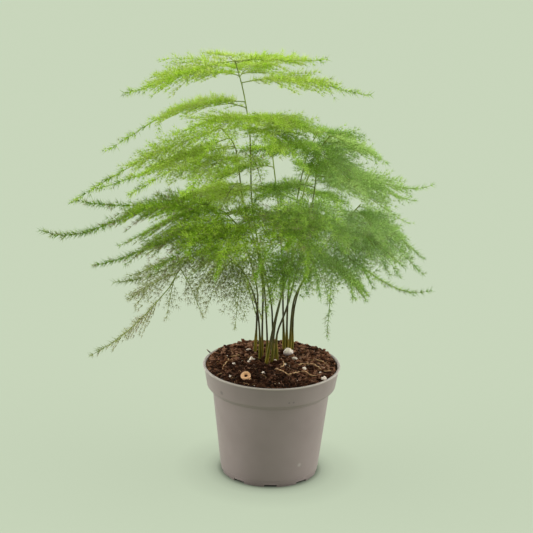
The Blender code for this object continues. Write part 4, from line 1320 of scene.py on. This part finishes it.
# The studio is a plain pale floor under soft light from all round, dimmer from the front. The floor glows, so
# that its colour is even, and less so close to the pot's foot, where the pot shades it.
FLOOR_SIZE = 12.0
FLOOR_LEVEL = -0.02 * MM
FLOOR_GREEN = (0.090, 0.104, 0.0775)
FLOOR_GLOW = (0.437, 0.504, 0.376)
BACKDROP_GREEN = (0.571, 0.658, 0.491)
bm = bmesh.new()
bmesh.ops.create_grid(bm, x_segments=1, y_segments=1, size=FLOOR_SIZE)
bmesh.ops.translate(bm, vec=(0.0, 0.0, FLOOR_LEVEL), verts=bm.verts)
paper = Nodes("studio paper", 0.95, specular=0.0)
paper.surface.inputs["Base Color"].default_value = (*FLOOR_GREEN, 1.0)
paper.surface.inputs["Emission Color"].default_value = (*FLOOR_GLOW, 1.0)
shade_at_foot = paper.ramp(
    paper.distance((0.0, 0.0, 0.0)),
    [(0.0415, 0.0), (0.044, 0.45), (0.048, 0.70), (0.058, 0.87), (0.085, 1.0)],
)
paper.link(shade_at_foot, paper.surface.inputs["Emission Strength"])
floor = set_out("studio_floor", mesh_from("studio_floor", bm))
floor.data.materials.append(paper.material)

# The light from a direction is the sum of these, by its X, Y and Z. That from the sides grows as a power.
SIDE_GLOW = 5.4
SIDE_POWER = 3.0
BACK_GLOW = 1.0
TOP_GLOW = 1.40
GLOW_ALL_ROUND = -0.28
LEAST_GLOW = 0.05
world = bpy.data.worlds.new("soft studio")
world.use_nodes = True
sky = world.node_tree
split = sky.nodes.new("ShaderNodeSeparateXYZ")
sky.links.new(sky.nodes.new("ShaderNodeTexCoord").outputs["Generated"], split.inputs[0])
sideways = reckoned(sky, "ABSOLUTE", split.outputs["X"], 0.0)
sides = reckoned(sky, "MULTIPLY", reckoned(sky, "POWER", sideways, SIDE_POWER), SIDE_GLOW)
behind = reckoned(sky, "MULTIPLY", split.outputs["Y"], BACK_GLOW)
above = reckoned(sky, "MULTIPLY", split.outputs["Z"], TOP_GLOW)
glow = reckoned(sky, "ADD", reckoned(sky, "ADD", sides, behind), reckoned(sky, "ADD", above, GLOW_ALL_ROUND))
background = sky.nodes["Background"]
background.inputs["Color"].default_value = (1.0, 1.0, 1.0, 1.0)
sky.links.new(reckoned(sky, "MAXIMUM", glow, LEAST_GLOW), background.inputs["Strength"])
# The camera sees a plain backdrop of the floor's colour past the floor's edge.
backdrop = sky.nodes.new("ShaderNodeBackground")
backdrop.inputs["Color"].default_value = (*BACKDROP_GREEN, 1.0)
choice = sky.nodes.new("ShaderNodeMixShader")
sky.links.new(sky.nodes.new("ShaderNodeLightPath").outputs["Is Camera Ray"], choice.inputs[0])
sky.links.new(background.outputs[0], choice.inputs[1])
sky.links.new(backdrop.outputs[0], choice.inputs[2])
sky.links.new(choice.outputs[0], sky.nodes["World Output"].inputs["Surface"])
bpy.context.scene.world = world
bpy.context.scene.view_settings.view_transform = "Standard"


# The camera stands in front and a little above. Its lens and its slight roll were fitted to the pot's outline
# in the photo: the focal length is in the photo's pixels, and the sensor is 36 mm wide.
FOCAL_LENGTH = 1749.0
PHOTO_WIDTH = 533.0
SENSOR_WIDTH = 36.0
CAMERA_AIM = Vector((-6.6, 0.0, 187.5)) * MM
CAMERA_ELEVATION = math.radians(17.8)
CAMERA_ROLL = math.radians(1.42)
CAMERA_DISTANCE = 1.5
camera = set_out("camera", bpy.data.cameras.new("camera"))
camera.data.lens = FOCAL_LENGTH / PHOTO_WIDTH * SENSOR_WIDTH
camera.data.clip_start = 0.1
back = Vector((0.0, -math.cos(CAMERA_ELEVATION), math.sin(CAMERA_ELEVATION)))
right = Vector((1.0, 0.0, 0.0))
up = back.cross(right)
across = math.cos(CAMERA_ROLL) * right + math.sin(CAMERA_ROLL) * up
upright = math.cos(CAMERA_ROLL) * up - math.sin(CAMERA_ROLL) * right
camera.matrix_world = Matrix((across, upright, back)).transposed().to_4x4()
camera.location = CAMERA_AIM + back * CAMERA_DISTANCE
bpy.context.scene.camera = camera
